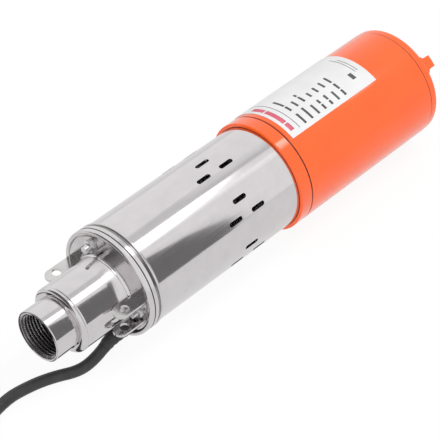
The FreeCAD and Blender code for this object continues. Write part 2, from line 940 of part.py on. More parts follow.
def make_magnets():
    inner = casing_bore - magnet_glue - magnet_thickness
    outer = casing_bore - magnet_glue
    end = magnet_at + magnet_length
    return [
        sector(magnet_at, end, inner, outer, clock - magnet_arc / 2, clock + magnet_arc / 2)
        for clock in (360.0 * i / magnet_count for i in range(magnet_count))
    ]


def core_slot_bars(start, end, low, high, width):
    return [
        clocked(block(start, end, low, high, width / 2), 360.0 * (i + 0.5) / core_slots)
        for i in range(core_slots)
    ]


def make_armature_core():
    """Stack of steel sheets with straight slots."""
    stack = ring(core_at, core_end, shaft_core_radius + fit_gap, core_radius_outer)
    low = core_radius_outer - core_slot_depth
    return stack.cut(core_slot_bars(core_at - 1, core_end + 1, low, core_radius_outer + 1, core_slot_width))


def make_armature_windings():
    """Copper bundles in the slots, with a rounded bundle at each end of the core."""
    outer = core_radius_outer - winding_inset
    inner = shaft_core_radius + winding_hub_wall
    low = core_radius_outer - core_slot_depth + fit_gap
    round_edge = winding_overhang / 3
    bundles = []
    for start, end in ((core_at - winding_overhang, core_at), (core_end, core_end + winding_overhang)):
        bundles.append(turned([
            (start, inner, round_edge),
            (end, inner, round_edge / 3),
            (end, outer, round_edge / 3),
            (start, outer, round_edge),
        ] if start < core_at else [
            (start, inner, round_edge / 3),
            (end, inner, round_edge),
            (end, outer, round_edge),
            (start, outer, round_edge / 3),
        ]))
    bars = core_slot_bars(core_at - 1, core_end + 1, low, outer - round_edge, core_slot_width - 2 * fit_gap)
    return bundles[0].fuse(bundles[1:] + bars)


def make_commutator():
    """Copper bars with cuts between them."""
    drum = ring(commutator_at, commutator_end, shaft_core_radius + fit_gap, commutator_radius)
    low = commutator_radius - commutator_cut_depth
    cuts = core_slot_bars(
        commutator_at - 1, commutator_end + 1, low, commutator_radius + 1, commutator_cut_width,
    )
    return drum.cut(cuts)


def brush_middle():
    return (commutator_at + commutator_end) / 2


def at_brushes(shape):
    return [clocked(shape, 45 + 360.0 * i / brush_count) for i in range(brush_count)]


def make_brushes():
    along, across, tall = brush_size
    low = commutator_radius + brush_gap
    middle = brush_middle()
    return at_brushes(block(middle - along / 2, middle + along / 2, low, low + tall, across / 2))


def make_brush_springs():
    """Springs that press the brushes inward, drawn as thin sleeves."""
    low = commutator_radius + brush_gap + brush_size[2]
    high = commutator_radius + brush_box_lift + brush_box_height - brush_box_wall
    middle = Vector(brush_middle(), 0, low)
    sleeve = Part.makeCylinder(spneck_radius, high - low, middle)
    return at_brushes(sleeve.cut(Part.makeCylinder(spneck_radius - spring_wall, high - low, middle)))


def make_brush_holder():
    """Insulating plate with a box for each brush."""
    along, across, tall = brush_size
    low = commutator_radius + brush_box_lift
    high = low + brush_box_height
    middle = brush_middle()
    plate = ring(brush_plate_at, brush_plate_at + brush_plate, low + brush_box_wall, spigot_radius)
    half_along = along / 2 + brush_gap
    half_across = across / 2 + brush_gap
    outer = block(middle - half_along - brush_box_wall, brush_plate_at, low, high, half_across + brush_box_wall)
    hollow = block(middle - half_along, middle + half_along, low - 1, high - brush_box_wall, half_across)
    return plate.fuse(at_brushes(outer)).cut(at_brushes(hollow))


def make_rear_shield():
    pocket = rear_bearing[1] + fit_gap
    relief = rear_bearing_end + shaft_end_gap + slide_gap
    return turned([
        (rear_shield_at, pocket),
        (rear_shield_at, spigot_radius, 0.6),
        (rear_shield_end, spigot_radius),
        (rear_shield_end, 0),
        (relief, 0),
        (relief, rear_bearing[0] + 1),
        (rear_bearing_end, rear_bearing[0] + 1),
        (rear_bearing_end, pocket),
    ])


def make_diaphragm():
    """Rubber disc that passes the water pressure to the motor, clamped at its rim."""
    rim_end = rear_shield_end + diaphragm_rim
    rim_inner = spigot_radius - diaphragm_rim_width
    fold = rim_inner - 3 * diaphragm_wall
    back = rear_shield_end + diaphragm_bulge
    return turned([
        (rear_shield_end, rim_inner),
        (rear_shield_end, spigot_radius),
        (rim_end, spigot_radius),
        (rim_end, fold + diaphragm_wall),
        (back + diaphragm_wall, fold),
        (back + diaphragm_wall, 0),
        (back, 0),
        (back, fold),
    ])


def make_label():
    start = casing_at + label_start
    inner = casing_radius + slide_gap
    return sector(start, start + label_length, inner, inner + label_thickness, *label_clock)


def bracket_rise(index):
    """How far the sheet under a nut lifts it; the last stud has no bracket."""
    return bracket_sheet if index < 2 else 0.0


def make_studs():
    return [
        rod(floor_at - stud_tip, shield_at + stud_engagement, stud_radius, stud_circle, clock)
        for clock in stud_clocks
    ]


def make_washers():
    pieces = []
    for i, clock in enumerate(stud_clocks):
        end = floor_at - bracket_rise(i)
        disc = rod(end - washer_thickness, end, washer_radius, stud_circle)
        hole = rod(end - washer_thickness - 1, end + 1, stud_radius + fit_gap, stud_circle)
        pieces.append(clocked(disc.cut(hole), clock))
    return pieces


def make_nuts():
    pieces = []
    for i, clock in enumerate(stud_clocks):
        end = floor_at - bracket_rise(i) - washer_thickness
        nut = hexagon(nut_flats, nut_height)
        nut.translate(Vector(end - nut_height, 0, stud_circle))
        cone_radius = nut_flats / math.sqrt(3)
        crown = Part.makeCone(
            nut_flats / 2, nut_flats / 2 + nut_height, nut_height,
            Vector(end - nut_height, 0, stud_circle), Vector(1, 0, 0),
        )
        hole = rod(end - nut_height - 1, end + 1, stud_radius + fit_gap, stud_circle)
        whole = nut.common(crown).cut(hole)
        pieces.append(clocked(whole, clock))
    return pieces


def lug_plate(inner, side, height, hole_height):
    """Standing plate with a round top and a hole, beside the line straight up."""
    outer = inner + lug_width
    half = lug_width / 2
    middle = inner + half
    tip = floor_at - height
    face = Part.Face(Part.Wire([
        Part.LineSegment(Vector(floor_at, side, inner), Vector(tip + half, side, inner)).toShape(),
        Part.Arc(
            Vector(tip + half, side, inner),
            Vector(tip, side, middle),
            Vector(tip + half, side, outer),
        ).toShape(),
        Part.LineSegment(Vector(tip + half, side, outer), Vector(floor_at, side, outer)).toShape(),
        Part.LineSegment(Vector(floor_at, side, outer), Vector(floor_at, side, inner)).toShape(),
    ]))
    plate = face.extrude(Vector(0, bracket_sheet, 0))
    hole_at = Vector(floor_at - hole_height, side - 1, middle)
    return plate.cut(Part.makeCylinder(lug_hole_radius, bracket_sheet + 2, hole_at, Vector(0, 1, 0)))


def bracket_stud_hole(clock):
    return rod(floor_at - bracket_sheet - 1, floor_at + 1, stud_radius + stud_hole_gap, stud_circle, clock)


def make_clevis_bracket():
    """Two lugs with a foot between them, held by the nut in their middle."""
    outer = clevis_inner_reach + lug_width
    side = clevis_half_gap + bracket_sheet
    foot = block(floor_at - bracket_sheet, floor_at, clevis_inner_reach, outer, side)
    lugs = [
        lug_plate(clevis_inner_reach, -side, clevis_height, clevis_hole_height),
        lug_plate(clevis_inner_reach, clevis_half_gap, clevis_height, clevis_hole_height),
    ]
    whole = clocked(foot.fuse(lugs).removeSplitter(), stud_clocks[1])
    return whole.cut([bracket_stud_hole(stud_clocks[1]), beside_axis(ring_clearance())])


def ring_clearance():
    """Space that the bracket's foot leaves round the neck."""
    return rod(floor_at - bracket_sheet - 1, floor_at + 1, neck_radius + neck_foot_clearance / 2)


def make_strap_bracket():
    """One lug at the end of a curved strap, whose other end lies under a nut."""
    lug = clocked(
        lug_plate(strap_lug_reach, -bracket_sheet / 2, strap_lug_height, strap_hole_height),
        strap_lug_clock,
    )
    outer = strap_inner_radius + strap_width
    strap = sector(
        floor_at - bracket_sheet, floor_at, strap_inner_radius, outer, strap_lug_clock, stud_clocks[0],
    )
    eye = rod(floor_at - bracket_sheet, floor_at, strap_width / 2, stud_circle + strap_eye_shift, stud_clocks[0])
    return lug.fuse([strap, eye]).removeSplitter().cut(bracket_stud_hole(stud_clocks[0]))


def make_cable_gland():
    """Rubber gland with a tapered nose, a flange on the cap and a sleeve through it."""
    body = section([
        (floor_at - gland_height, 0),
        (floor_at - gland_height, gland_nose, 0.6),
        (floor_at - gland_height / 2, gland_radius, 0.6),
        (floor_at, gland_radius),
        (floor_at, gland_sleeve_radius),
        (floor_at + gland_sleeve, gland_sleeve_radius),
        (floor_at + gland_sleeve, 0),
    ]).revolve(Vector(0, 0, 0), Vector(1, 0, 0), 360)
    body.translate(Vector(0, 0, gland_circle))
    bore = rod(floor_at - gland_height - 1, floor_at + gland_sleeve + 1, cable_radius + fit_gap, gland_circle)
    return clocked(body.cut(bore), gland_clock)


def make_lead_grommet():
    """Rubber grommet where the lead enters the motor shield."""
    outer = rod(shield_at - grommet_height, shield_at, cable_radius + grommet_flange, gland_circle)
    sleeve = rod(shield_at, shield_at + grommet_sleeve, cable_radius + grommet_flange / 2, gland_circle)
    bore = rod(
        shield_at - grommet_height - 1, shield_at + grommet_sleeve + 1, cable_radius + fit_gap, gland_circle,
    )
    return clocked(outer.fuse(sleeve).removeSplitter().cut(bore), gland_clock)


def make_inner_lead():
    """The lead inside the pump, from the gland along the barrel into the motor."""
    start = cable_route[0][0] + pump_length / 2
    return rod(start, front_bearing_end + lead_tail, cable_radius, gland_circle, gland_clock)


def rounded_path(points, label):
    """Straight runs joined by tangent arcs; prints the arc radii."""
    spots = [Vector(*p) for p in points]
    edges = []
    radii = []
    here = spots[0]
    for i in range(1, len(spots) - 1):
        before, at, after = spots[i - 1], spots[i], spots[i + 1]
        run = min((at - before).Length, (after - at).Length)
        turn = (at - before).getAngle(after - at)
        radius = 0.45 * run / math.tan(turn / 2)
        start, middle, end = corner(before, at, after, radius)
        edges.append(Part.LineSegment(here, start).toShape())
        edges.append(Part.Arc(start, middle, end).toShape())
        radii.append(round(radius, 1))
        here = end
    edges.append(Part.LineSegment(here, spots[-1]).toShape())
    length = sum(edge.Length for edge in edges)
    print(label, "arc radii", radii, "length", round(length, 1))
    return edges, spots, length


def make_tube(points, label):
    edges, spots, length = rounded_path(points, label)
    tube = swept(edges, spots[0], spots[1] - spots[0], cable_radius)
    expected = math.pi * cable_radius ** 2 * length
    print(label, "volume against section times length", round(tube.Volume / expected, 4))
    return tube


def make_cable_coil():
    """Outer shape of the coil: three turns across and two layers high."""
    outer = coil_outer_turn + cable_radius
    inner = coil_outer_turn - (coil_turns_across - 1) * cable_diameter - cable_radius
    high = coil_layers * cable_diameter
    x, y = coil_centre
    spots = [(inner, 0), (outer, 0), (outer, high), (inner, high)]
    edges = []
    stops = []
    corners = [Vector(r, 0, z) for r, z in spots]
    for i, spot in enumerate(corners):
        stops.append(corner(corners[i - 1], spot, corners[(i + 1) % 4], coil_edge_round))
    for i, stop in enumerate(stops):
        edges.append(Part.Arc(*stop).toShape())
        edges.append(Part.LineSegment(stop[2], stops[(i + 1) % 4][0]).toShape())
    coil = Part.Face(Part.Wire(edges)).revolve(Vector(0, 0, 0), Vector(0, 0, 1), 360)
    coil.translate(Vector(x, y, 0))
    return coil


def make_coil_tie():
    """Flat tie round the coil; its lower strand lies level with the underside of the coil."""
    outer = coil_outer_turn + cable_radius
    inner = coil_outer_turn - (coil_turns_across - 1) * cable_diameter - cable_radius
    high = coil_layers * cable_diameter
    loop = Part.makeBox(outer - inner + 2 * tie_thickness, tie_width, high + tie_thickness,
                        Vector(inner - tie_thickness, -tie_width / 2, 0))
    hollow = Part.makeBox(outer - inner, tie_width + 2, high - tie_thickness,
                          Vector(inner, -tie_width / 2 - 1, tie_thickness))
    band = loop.cut(hollow)
    band.rotate(Vector(0, 0, 0), Vector(0, 0, 1), tie_clock)
    band.translate(Vector(coil_centre[0], coil_centre[1], 0))
    return band


def core_path(side):
    """The two cores leave the sheath side by side and spread a little."""
    last, before = Vector(*tail_route[-1]), Vector(*tail_route[-2])
    ahead = (last - before).normalize()
    across = Vector(ahead.y, -ahead.x, 0)
    start = last + across * side * core_spacing
    drop = Vector(0, 0, core_radius - last.z)
    third = core_routes_length / 3
    return [
        start,
        start + ahead * third,
        start + ahead * third * 2 + drop + across * side * core_spread / 2,
        start + ahead * third * 3 + drop + across * side * core_spread * 0.8,
    ]


def make_core(side):
    points = core_path(side)
    edges, spots, length = rounded_path([tuple(p) for p in points], "core")
    return swept(edges, spots[0], spots[1] - spots[0], core_radius)


def make_core_tip(side):
    """Bare end of a core, tinned."""
    points = core_path(side)
    heading = (points[-1] - points[-2]).normalize()
    return Part.makeCylinder(core_wire_radius, core_bare, points[-1], heading)


gland_sleeve_radius = cable_radius + gland_sleeve_wall
seal_groove_radius = barrel_bore + seal_ring_squeeze - seal_ring_section

# Root body: housing, pump stator, studs, brackets and motor stator
save("outlet_neck", make_outlet_neck())
save("head_cap", make_head_cap())
save("cap_gasket", make_cap_gasket())
save("delivery_plate", make_delivery_plate())
save("head_seal_ring", make_seal_ring(barrel_at + spigot_groove_inset, seal_groove_radius))
save("pump_barrel", make_pump_barrel())
save("stator_gasket", ring(stator_socket_at, stator_at, plate_bore_radius, stator_tube_radius))
save("stator_tube", ring(stator_at, stator_end, stator_bore, stator_tube_radius))
save("stator_rubber", make_stator_rubber())
save("stator_seat", make_stator_seat())
save("tie_studs", *make_studs())
save("stud_washers", *make_washers())
save("stud_nuts", *make_nuts())
save("clevis_bracket", make_clevis_bracket())
save("strap_bracket", make_strap_bracket())
save("cable_gland", make_cable_gland())
save("inner_lead", make_inner_lead())
save("lead_grommet", make_lead_grommet())
save("front_shield", make_front_shield())
save("shield_seal_ring", make_seal_ring(shield_at + shield_seal_groove, seal_groove_radius))
save("seal_seat", make_seal_seat())
save("front_bearing_outer", make_bearing_outer(front_bearing_at, front_bearing))
save("front_ring", make_front_ring())
save("motor_casing", make_motor_casing())
save("magnets", *make_magnets())
save("brush_holder", make_brush_holder())
save("brushes", *make_brushes())
save("brush_springs", *make_brush_springs())
save("rear_shield", make_rear_shield())
save("rear_bearing_outer", make_bearing_outer(rear_bearing_at, rear_bearing))
save("diaphragm", make_diaphragm())
save("end_cap", make_end_cap())
save("label_plate", make_label())

# Motor rotor
save("motor_shaft", make_motor_shaft())
save("shaft_hub", make_shaft_hub())
save("hub_screw", make_hub_screw())
save("seal_bellows", make_seal_bellows())
save("seal_ring", make_seal_ring_rotating())
save("front_bearing_inner", make_bearing_inner(front_bearing_at, front_bearing))
save("armature_core", make_armature_core())
save("armature_windings", make_armature_windings())
save("commutator", make_commutator())
save("rear_bearing_inner", make_bearing_inner(rear_bearing_at, rear_bearing))

# Balls and cages of both bearings
save("front_bearing_balls", make_bearing_balls(front_bearing_at, front_bearing))
save("rear_bearing_balls", make_bearing_balls(rear_bearing_at, rear_bearing))

# Rod and screw
save("connecting_rod", make_connecting_rod())
save("rod_sleeve", make_rod_sleeve())
save("screw_rotor", make_screw_rotor())

# Free lead on the floor
coil = make_cable_coil()
tie = make_coil_tie()
write("power_cable", make_tube(cable_route, "power cable").cut(coil))
write("cable_coil", coil.cut(tie))
write("coil_tie", tie)
write("cable_tail", make_tube(tail_route, "cable tail").cut(coil))
write("cable_cores", make_core(1), make_core(-1))
write("core_tips", make_core_tip(1), make_core_tip(-1))
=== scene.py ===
# %% [markdown]
# # A submersible screw pump
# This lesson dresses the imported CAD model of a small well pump.
# The CAD model gives every rigid shape and every place, so nothing here is fitted by eye.
# Blender adds the finish of the metal, paint and rubber, the lead, and the details that
# a solid model leaves out, such as the pipe thread and the printed label.

# %% Load the frame
import math

import bmesh
import bpy
from mathutils import Matrix, Vector


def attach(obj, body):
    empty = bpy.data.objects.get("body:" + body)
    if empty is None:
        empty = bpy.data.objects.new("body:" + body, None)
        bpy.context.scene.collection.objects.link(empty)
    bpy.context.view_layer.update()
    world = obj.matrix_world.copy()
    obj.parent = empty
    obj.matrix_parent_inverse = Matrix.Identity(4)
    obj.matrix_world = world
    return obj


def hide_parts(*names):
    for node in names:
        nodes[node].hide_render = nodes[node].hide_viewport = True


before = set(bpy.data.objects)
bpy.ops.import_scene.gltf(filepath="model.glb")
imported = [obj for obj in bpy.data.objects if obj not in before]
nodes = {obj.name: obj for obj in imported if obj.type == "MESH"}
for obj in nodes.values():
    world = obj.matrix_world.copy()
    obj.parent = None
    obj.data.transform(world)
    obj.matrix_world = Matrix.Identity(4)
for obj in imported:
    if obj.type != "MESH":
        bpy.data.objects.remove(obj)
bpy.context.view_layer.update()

# %% [markdown]
# ## The camera
# The pump was photographed from above and to its left, from about a metre and a half away,
# through a long lens.
# A camera can be aimed with two angles, but three axis directions say the same thing exactly.
# They are the picture's right and up and the way that the camera looks, in the frame's axes.

# %% Make the camera
CAMERA_PLACE = Vector((-0.77675, -0.7229, 0.9992))
PICTURE_RIGHT = Vector((0.6857, -0.7278, 0.0))
PICTURE_UP = Vector((0.4936, 0.4650, 0.7348))
LOOKING = Vector((0.5349, 0.5039, -0.6782))
LENS_MM = 175.9


def make_camera():
    data = bpy.data.cameras.new("camera")
    data.lens = LENS_MM
    data.sensor_width = 36.0
    camera = bpy.data.objects.new("camera", data)
    bpy.context.scene.collection.objects.link(camera)
    turn = Matrix((PICTURE_RIGHT, PICTURE_UP, -LOOKING)).transposed().to_4x4()
    camera.matrix_world = Matrix.Translation(CAMERA_PLACE) @ turn
    bpy.context.scene.camera = camera
    return camera


camera = make_camera()
print("camera at", [round(x, 3) for x in camera.location])

# %% [markdown]
# ## The lead
# A two-core lead in a black sheath leaves the head through a rubber gland.
# It drops to the ground, runs out past the left edge of the photograph and is put away
# there in a neat coil, tied once, with its two bare ends showing.
# The whole lead is one smooth spline. Its few points are listed up to the coil,
# and the coil's turns are more points of the same spline, sixteen to a turn.
# Each turn steps aside by one diameter over a sixth of a turn, so that no turn lies in another.

# %% The lead's route
LEAD_DIAMETER = 0.0078
LEAD_EXIT_ROUTE = [
    (-0.1100, -0.0151, 0.01455),
    (-0.1235, -0.0151, 0.01455),
    (-0.1395, -0.0156, 0.0056),
    (-0.1550, -0.0157, 0.0039),
    (-0.1705, -0.0071, 0.0039),
    (-0.1860, -0.0019, 0.0039),
    (-0.2070, 0.0011, 0.0039),
]
COIL_CENTRE = Vector((-0.2558, 0.0400, 0.0))
COIL_OUTER = 0.0508
COIL_START_DEG = 285.9
COIL_END_TURN_DEG = 2009.4
POINTS_A_TURN = 16
LEAD_TAIL_ROUTE = [
    (-0.2300, 0.0874, 0.0109),
    (-0.2160, 0.0867, 0.0066),
    (-0.2017, 0.0886, 0.0039),
    (-0.1869, 0.0866, 0.0039),
]
# How many pieces the tube and its bare line have from one control point to the next.
TUBE_STEPS = 6
LINE_STEPS = 8
TUBE_ROUNDNESS = 8
LEAST_RADIUS = 0.0001
LAYER_LOW = LEAD_DIAMETER / 2
LAYER_HIGH = LAYER_LOW + LEAD_DIAMETER
TURN_RADII = [COIL_OUTER - LEAD_DIAMETER * i for i in range(3)]
# Each row is the angle turned so far, the radius and the height of the lead's middle there.
COIL_STAGES = [
    (0, TURN_RADII[0], LAYER_LOW),
    (300, TURN_RADII[0], LAYER_LOW),
    (360, TURN_RADII[1], LAYER_LOW),
    (660, TURN_RADII[1], LAYER_LOW),
    (720, TURN_RADII[2], LAYER_LOW),
    (985, TURN_RADII[2], LAYER_LOW),
    (1035, TURN_RADII[2], LAYER_HIGH),
    (1295, TURN_RADII[2], LAYER_HIGH),
    (1345, TURN_RADII[1], LAYER_HIGH),
    (1655, TURN_RADII[1], LAYER_HIGH),
    (1705, TURN_RADII[0], LAYER_HIGH),
    (2100, TURN_RADII[0], LAYER_HIGH),
]


def between(stages, turned):
    """Radius and height at an angle, read between the two stages round it."""
    for low, high in zip(stages, stages[1:]):
        if low[0] <= turned <= high[0]:
            part = (turned - low[0]) / (high[0] - low[0])
            part = part * part * (3 - 2 * part)
            return [a + (b - a) * part for a, b in zip(low[1:], high[1:])]
    raise ValueError(turned)


def coil_points():
    """Control points of the coil, a little outside the turn that the spline makes from them."""
    step = 360.0 / POINTS_A_TURN
    wider = 1 / (0.75 + 0.25 * math.cos(math.radians(step)))
    count = int((COIL_END_TURN_DEG - step / 2) / step) + 1
    points = []
    for i in range(count):
        turned = step / 2 + i * step
        radius, height = between(COIL_STAGES, turned)
        angle = math.radians(COIL_START_DEG - turned)
        side = Vector((math.cos(angle), math.sin(angle), 0)) * radius * wider
        points.append(COIL_CENTRE + side + Vector((0, 0, height)))
    return points


def spline_object(name, points, radius):
    """A tube on one smooth spline with the given control points. With no radius it is a bare line."""
    curve = bpy.data.curves.new(name, "CURVE")
    curve.dimensions = "3D"
    spline = curve.splines.new("NURBS")
    spline.points.add(len(points) - 1)
    for control, place in zip(spline.points, points):
        control.co = (*place, 1.0)
        control.radius = max(radius, LEAST_RADIUS)
    spline.order_u = 3
    spline.use_endpoint_u = True
    spline.resolution_u = TUBE_STEPS
    curve.bevel_depth = 1.0 if radius else 0.0
    curve.bevel_resolution = TUBE_ROUNDNESS
    curve.use_fill_caps = True
    made = bpy.data.objects.new(name, curve)
    bpy.context.scene.collection.objects.link(made)
    return made


def line_of(points):
    """The spline's own line as points, from a curve that has no thickness."""
    bare = spline_object("bare_line", points, 0.0)
    bare.data.splines[0].resolution_u = LINE_STEPS
    mesh = bpy.data.meshes.new_from_object(bare.evaluated_get(bpy.context.evaluated_depsgraph_get()))
    line = [vertex.co.copy() for vertex in mesh.vertices]
    bpy.data.objects.remove(bare)
    return line


def length_of(line):
    return sum((b - a).length for a, b in zip(line, line[1:]))


lead_route = [Vector(p) for p in LEAD_EXIT_ROUTE] + coil_points() + [Vector(p) for p in LEAD_TAIL_ROUTE]
lead_line = line_of(lead_route)

# %% [markdown]
# Its far end is bare: the sheath stops and two insulated cores stand out of it.

# %% Make the lead
def make_lead():
    lead = spline_object("lead", lead_route, LEAD_DIAMETER / 2)
    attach(lead, "housing")
    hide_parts("power_cable", "cable_coil", "cable_tail")
    return lead


lead = make_lead()

# %% [markdown]
# ## The studio
# The background of the photograph is plain white and the pump lies on it with hardly a shadow.
# Polished steel shows the room rather than a colour of its own, so the room matters as much as
# the finish. The room is white all round, and its floor glows a little, as a light table does.

# %% Node helpers
def add(tree, kind, values=(), **settings):
    """A shader node. Its sockets are given by name, as a value or as the socket to link from."""
    node = tree.nodes.new("ShaderNode" + kind)
    for name, value in settings.items():
        setattr(node, name, value)
    for name, value in dict(values).items():
        if isinstance(value, bpy.types.NodeSocket):
            tree.links.new(value, node.inputs[name])
        else:
            node.inputs[name].default_value = value
    return node


def work_out(tree, operation, *numbers):
    """A Math node on numbers or sockets."""
    return add(tree, "Math", dict(enumerate(numbers)), operation=operation).outputs[0]


# %% Floor and world
FLOOR_HALF = 3.0
FLOOR_SINK = 0.0002
AMBIENT = 0.72
FLOOR_GLOW = 0.92
FLOOR_IN_MIRRORS = 0.84


def seen_ray(tree):
    """One for a ray that shows a thing: from the camera, off a mirror or through glass."""
    path = add(tree, "LightPath").outputs
    seen = work_out(tree, "MAXIMUM", path["Is Camera Ray"], path["Is Glossy Ray"])
    return work_out(tree, "MAXIMUM", seen, path["Is Transmission Ray"])


def make_world():
    """White where it is seen, and AMBIENT as a lamp."""
    world = bpy.data.worlds.new("studio")
    bpy.context.scene.world = world
    world.use_nodes = True
    tree = world.node_tree
    strength = work_out(tree, "MULTIPLY_ADD", seen_ray(tree), 1 - AMBIENT, AMBIENT)
    background = tree.nodes["Background"]
    background.inputs["Color"].default_value = (1, 1, 1, 1)
    tree.links.new(strength, background.inputs["Strength"])


def stage_piece(name, corners, material):
    """A flat sheet of the studio, which isn't part of the pump."""
    mesh = bpy.data.meshes.new(name)
    mesh.from_pydata(corners, [], [range(len(corners))])
    mesh.materials.append(material)
    made = bpy.data.objects.new(name, mesh)
    bpy.context.scene.collection.objects.link(made)
    return made


def new_material(name):
    material = bpy.data.materials.new(name)
    material.use_nodes = True
    return material, material.node_tree, material.node_tree.nodes["Principled BSDF"]


def pale_paper():
    """White paper that glows a little where it is seen, as on a light table, and keeps a soft shadow."""
    material, tree, shader = new_material("pale_paper")
    shader.inputs["Base Color"].default_value = (0.97, 0.97, 0.97, 1)
    shader.inputs["Roughness"].default_value = 0.9
    straight = add(tree, "LightPath").outputs["Is Camera Ray"]
    strength = work_out(tree, "MULTIPLY_ADD", straight, 1 - FLOOR_IN_MIRRORS, FLOOR_IN_MIRRORS)
    glow = add(tree, "Emission", {"Strength": strength}).outputs[0]
    share = work_out(tree, "MULTIPLY", seen_ray(tree), FLOOR_GLOW)
    mixed = add(tree, "MixShader", {0: share, 1: shader.outputs[0], 2: glow})
    tree.links.new(mixed.outputs[0], tree.nodes["Material Output"].inputs["Surface"])
    return material


bpy.context.scene.view_settings.view_transform = "Standard"
make_world()
floor_square = [(-1, -1), (1, -1), (1, 1), (-1, 1)]
stage_piece("floor", [(x * FLOOR_HALF, y * FLOOR_HALF, -FLOOR_SINK) for x, y in floor_square], pale_paper())

# %% [markdown]
# ## Lamps and cards
# Two lamps light the paint, the label and the rubber: a softbox overhead and a fill lamp beyond
# the outlet. Mirrors don't see the lamps. They see flat cards in their stead, which give no light,
# so that a reflection can be set without a change to the light.
# Four cards stand for the softbox. The tube mirrors the first three as a bright stripe that
# narrows and fades towards the motor, and only the painted ring mirrors the small far one.
# The side card is dark and gives the dark band beside the stripe, which tapers to a point.
# The back card is dark too, and the dish of the head and the outlet's front mirror it.
# The corners were worked out from where the tube and the ring mirror them to the camera.

# %% Make the lamps and cards
SOFTBOX_PLACE = (0.32, -0.25, 1.24)
SOFTBOX_SIZE = (1.04, 0.36)
SOFTBOX_WATTS = 7.0
FILL_PLACE = (-1.45, -0.35, 0.50)
FILL_AIM = (0, 0, 0.04)
FILL_SIZE = (0.8, 0.8)
FILL_WATTS = 10.0
# Stops are rows of a place along a card and the brightness that a mirror sees there.
FACE_STOPS = [
    (-0.66, 0.90), (-0.50, 1.10), (-0.40, 2.60), (-0.10, 3.00), (-0.04, 0.78), (0.24, 0.74), (0.36, 0.96),
]
FADE_STOPS = [
    (-0.66, 0.92), (-0.52, 1.10), (-0.40, 1.50), (-0.10, 2.30), (-0.04, 0.74), (0.02, 0.66), (0.10, 0.78),
    (0.20, 0.86), (0.36, 0.96),
]
DIM_STOPS = [
    (-0.66, 0.94), (-0.52, 1.08), (-0.37, 1.20), (-0.24, 0.95), (-0.11, 0.92), (-0.04, 0.70), (0.02, 0.62),
    (0.10, 0.76), (0.20, 0.88), (0.36, 0.97),
]
FAR_STOPS = [(-0.50, 1.0), (-0.40, 3.5), (-0.30, 7.5), (-0.16, 9.0), (-0.10, 6.0), (-0.06, 1.0)]
SIDE_STOPS = [(0.0, 0.20), (0.30, 0.19), (0.75, 0.20), (1.4, 0.45)]
BACK_STOPS = [(0.0, 0.30), (0.15, 0.14), (1.35, 0.12), (1.7, 0.6)]
# The softbox's cards lie level at the lamp's height. Each has its stops along Y and its corners.
SOFTBOX_CARDS = {
    "softbox_face": (FACE_STOPS, [(-0.2, -0.66), (0.695, -0.66), (0.695, 0.36), (-0.2, 0.36)]),
    "softbox_fade": (FADE_STOPS, [(0.695, -0.66), (0.745, -0.66), (0.745, 0.36), (0.695, 0.36)]),
    "softbox_dim": (DIM_STOPS, [
        (0.745, -0.66), (0.960, -0.66), (0.930, -0.56), (0.882, -0.37), (0.855, -0.19), (0.846, -0.03),
        (0.90, 0.36), (0.745, 0.36),
    ]),
    "softbox_far": (FAR_STOPS, [
        (1.045, -0.50), (1.100, -0.50), (1.058, -0.36), (1.030, -0.20), (1.016, -0.06), (0.965, -0.06),
        (0.980, -0.20), (1.008, -0.36),
    ]),
}
# The side card stands along the pump. Its start is upright, and its edge is given as X and height.
SIDE_CARD_Y = -0.6
SIDE_CARD_START = 0.1
SIDE_CARD_TOP = 1.4
SIDE_CARD_EDGE = [
    (0.330, 0.0), (0.338, 0.07), (0.342, 0.20), (0.362, 0.4), (0.40, 0.63), (0.45, 0.9),
    (0.48, SIDE_CARD_TOP),
]
# The back card stands across the pump, beyond the outlet.
BACK_CARD_X = -0.9
BACK_CARD_SIDES = (-0.12, 1.4)
BACK_CARD_TOP = 1.7


def make_lamp(name, place, size, watts, aim):
    """A soft lamp that lights the pump and isn't seen in its mirrors."""
    data = bpy.data.lights.new(name, "AREA")
    data.shape = "RECTANGLE"
    data.size, data.size_y = size
    data.energy = watts
    lamp = bpy.data.objects.new(name, data)
    lamp.location = place
    lamp.rotation_euler = (Vector(aim) - Vector(place)).to_track_quat("-Z", "Y").to_euler()
    lamp.visible_glossy = False
    bpy.context.scene.collection.objects.link(lamp)


def graded(name, axis, stops):
    """A material that glows with a brightness read off a few stops along one axis of the frame."""
    material, tree, shader = new_material(name)
    place = add(tree, "SeparateXYZ", {0: add(tree, "TexCoord").outputs["Object"]}).outputs[axis]
    low, high = stops[0][0], stops[-1][0]
    peak = max(level for _, level in stops)
    along = add(tree, "MapRange", {"Value": place, "From Min": low, "From Max": high}).outputs[0]
    shades = add(tree, "ValToRGB", {"Fac": along})
    marks = shades.color_ramp.elements
    while len(marks) < len(stops):
        marks.new(0.5)
    for mark, (spot, level) in zip(marks, stops):
        mark.position = (spot - low) / (high - low)
        mark.color = (level / peak, level / peak, level / peak, 1)
    glow = add(tree, "Emission", {"Color": shades.outputs[0], "Strength": peak})
    tree.links.new(glow.outputs[0], tree.nodes["Material Output"].inputs["Surface"])
    return material


def mirror_card(name, corners, axis, stops):
    """A card that only mirrors see. It gives no light and takes none away."""
    card = stage_piece(name, corners, graded(name, axis, stops))
    card.visible_camera = False
    card.visible_diffuse = False
    card.visible_shadow = False
    card.visible_transmission = False


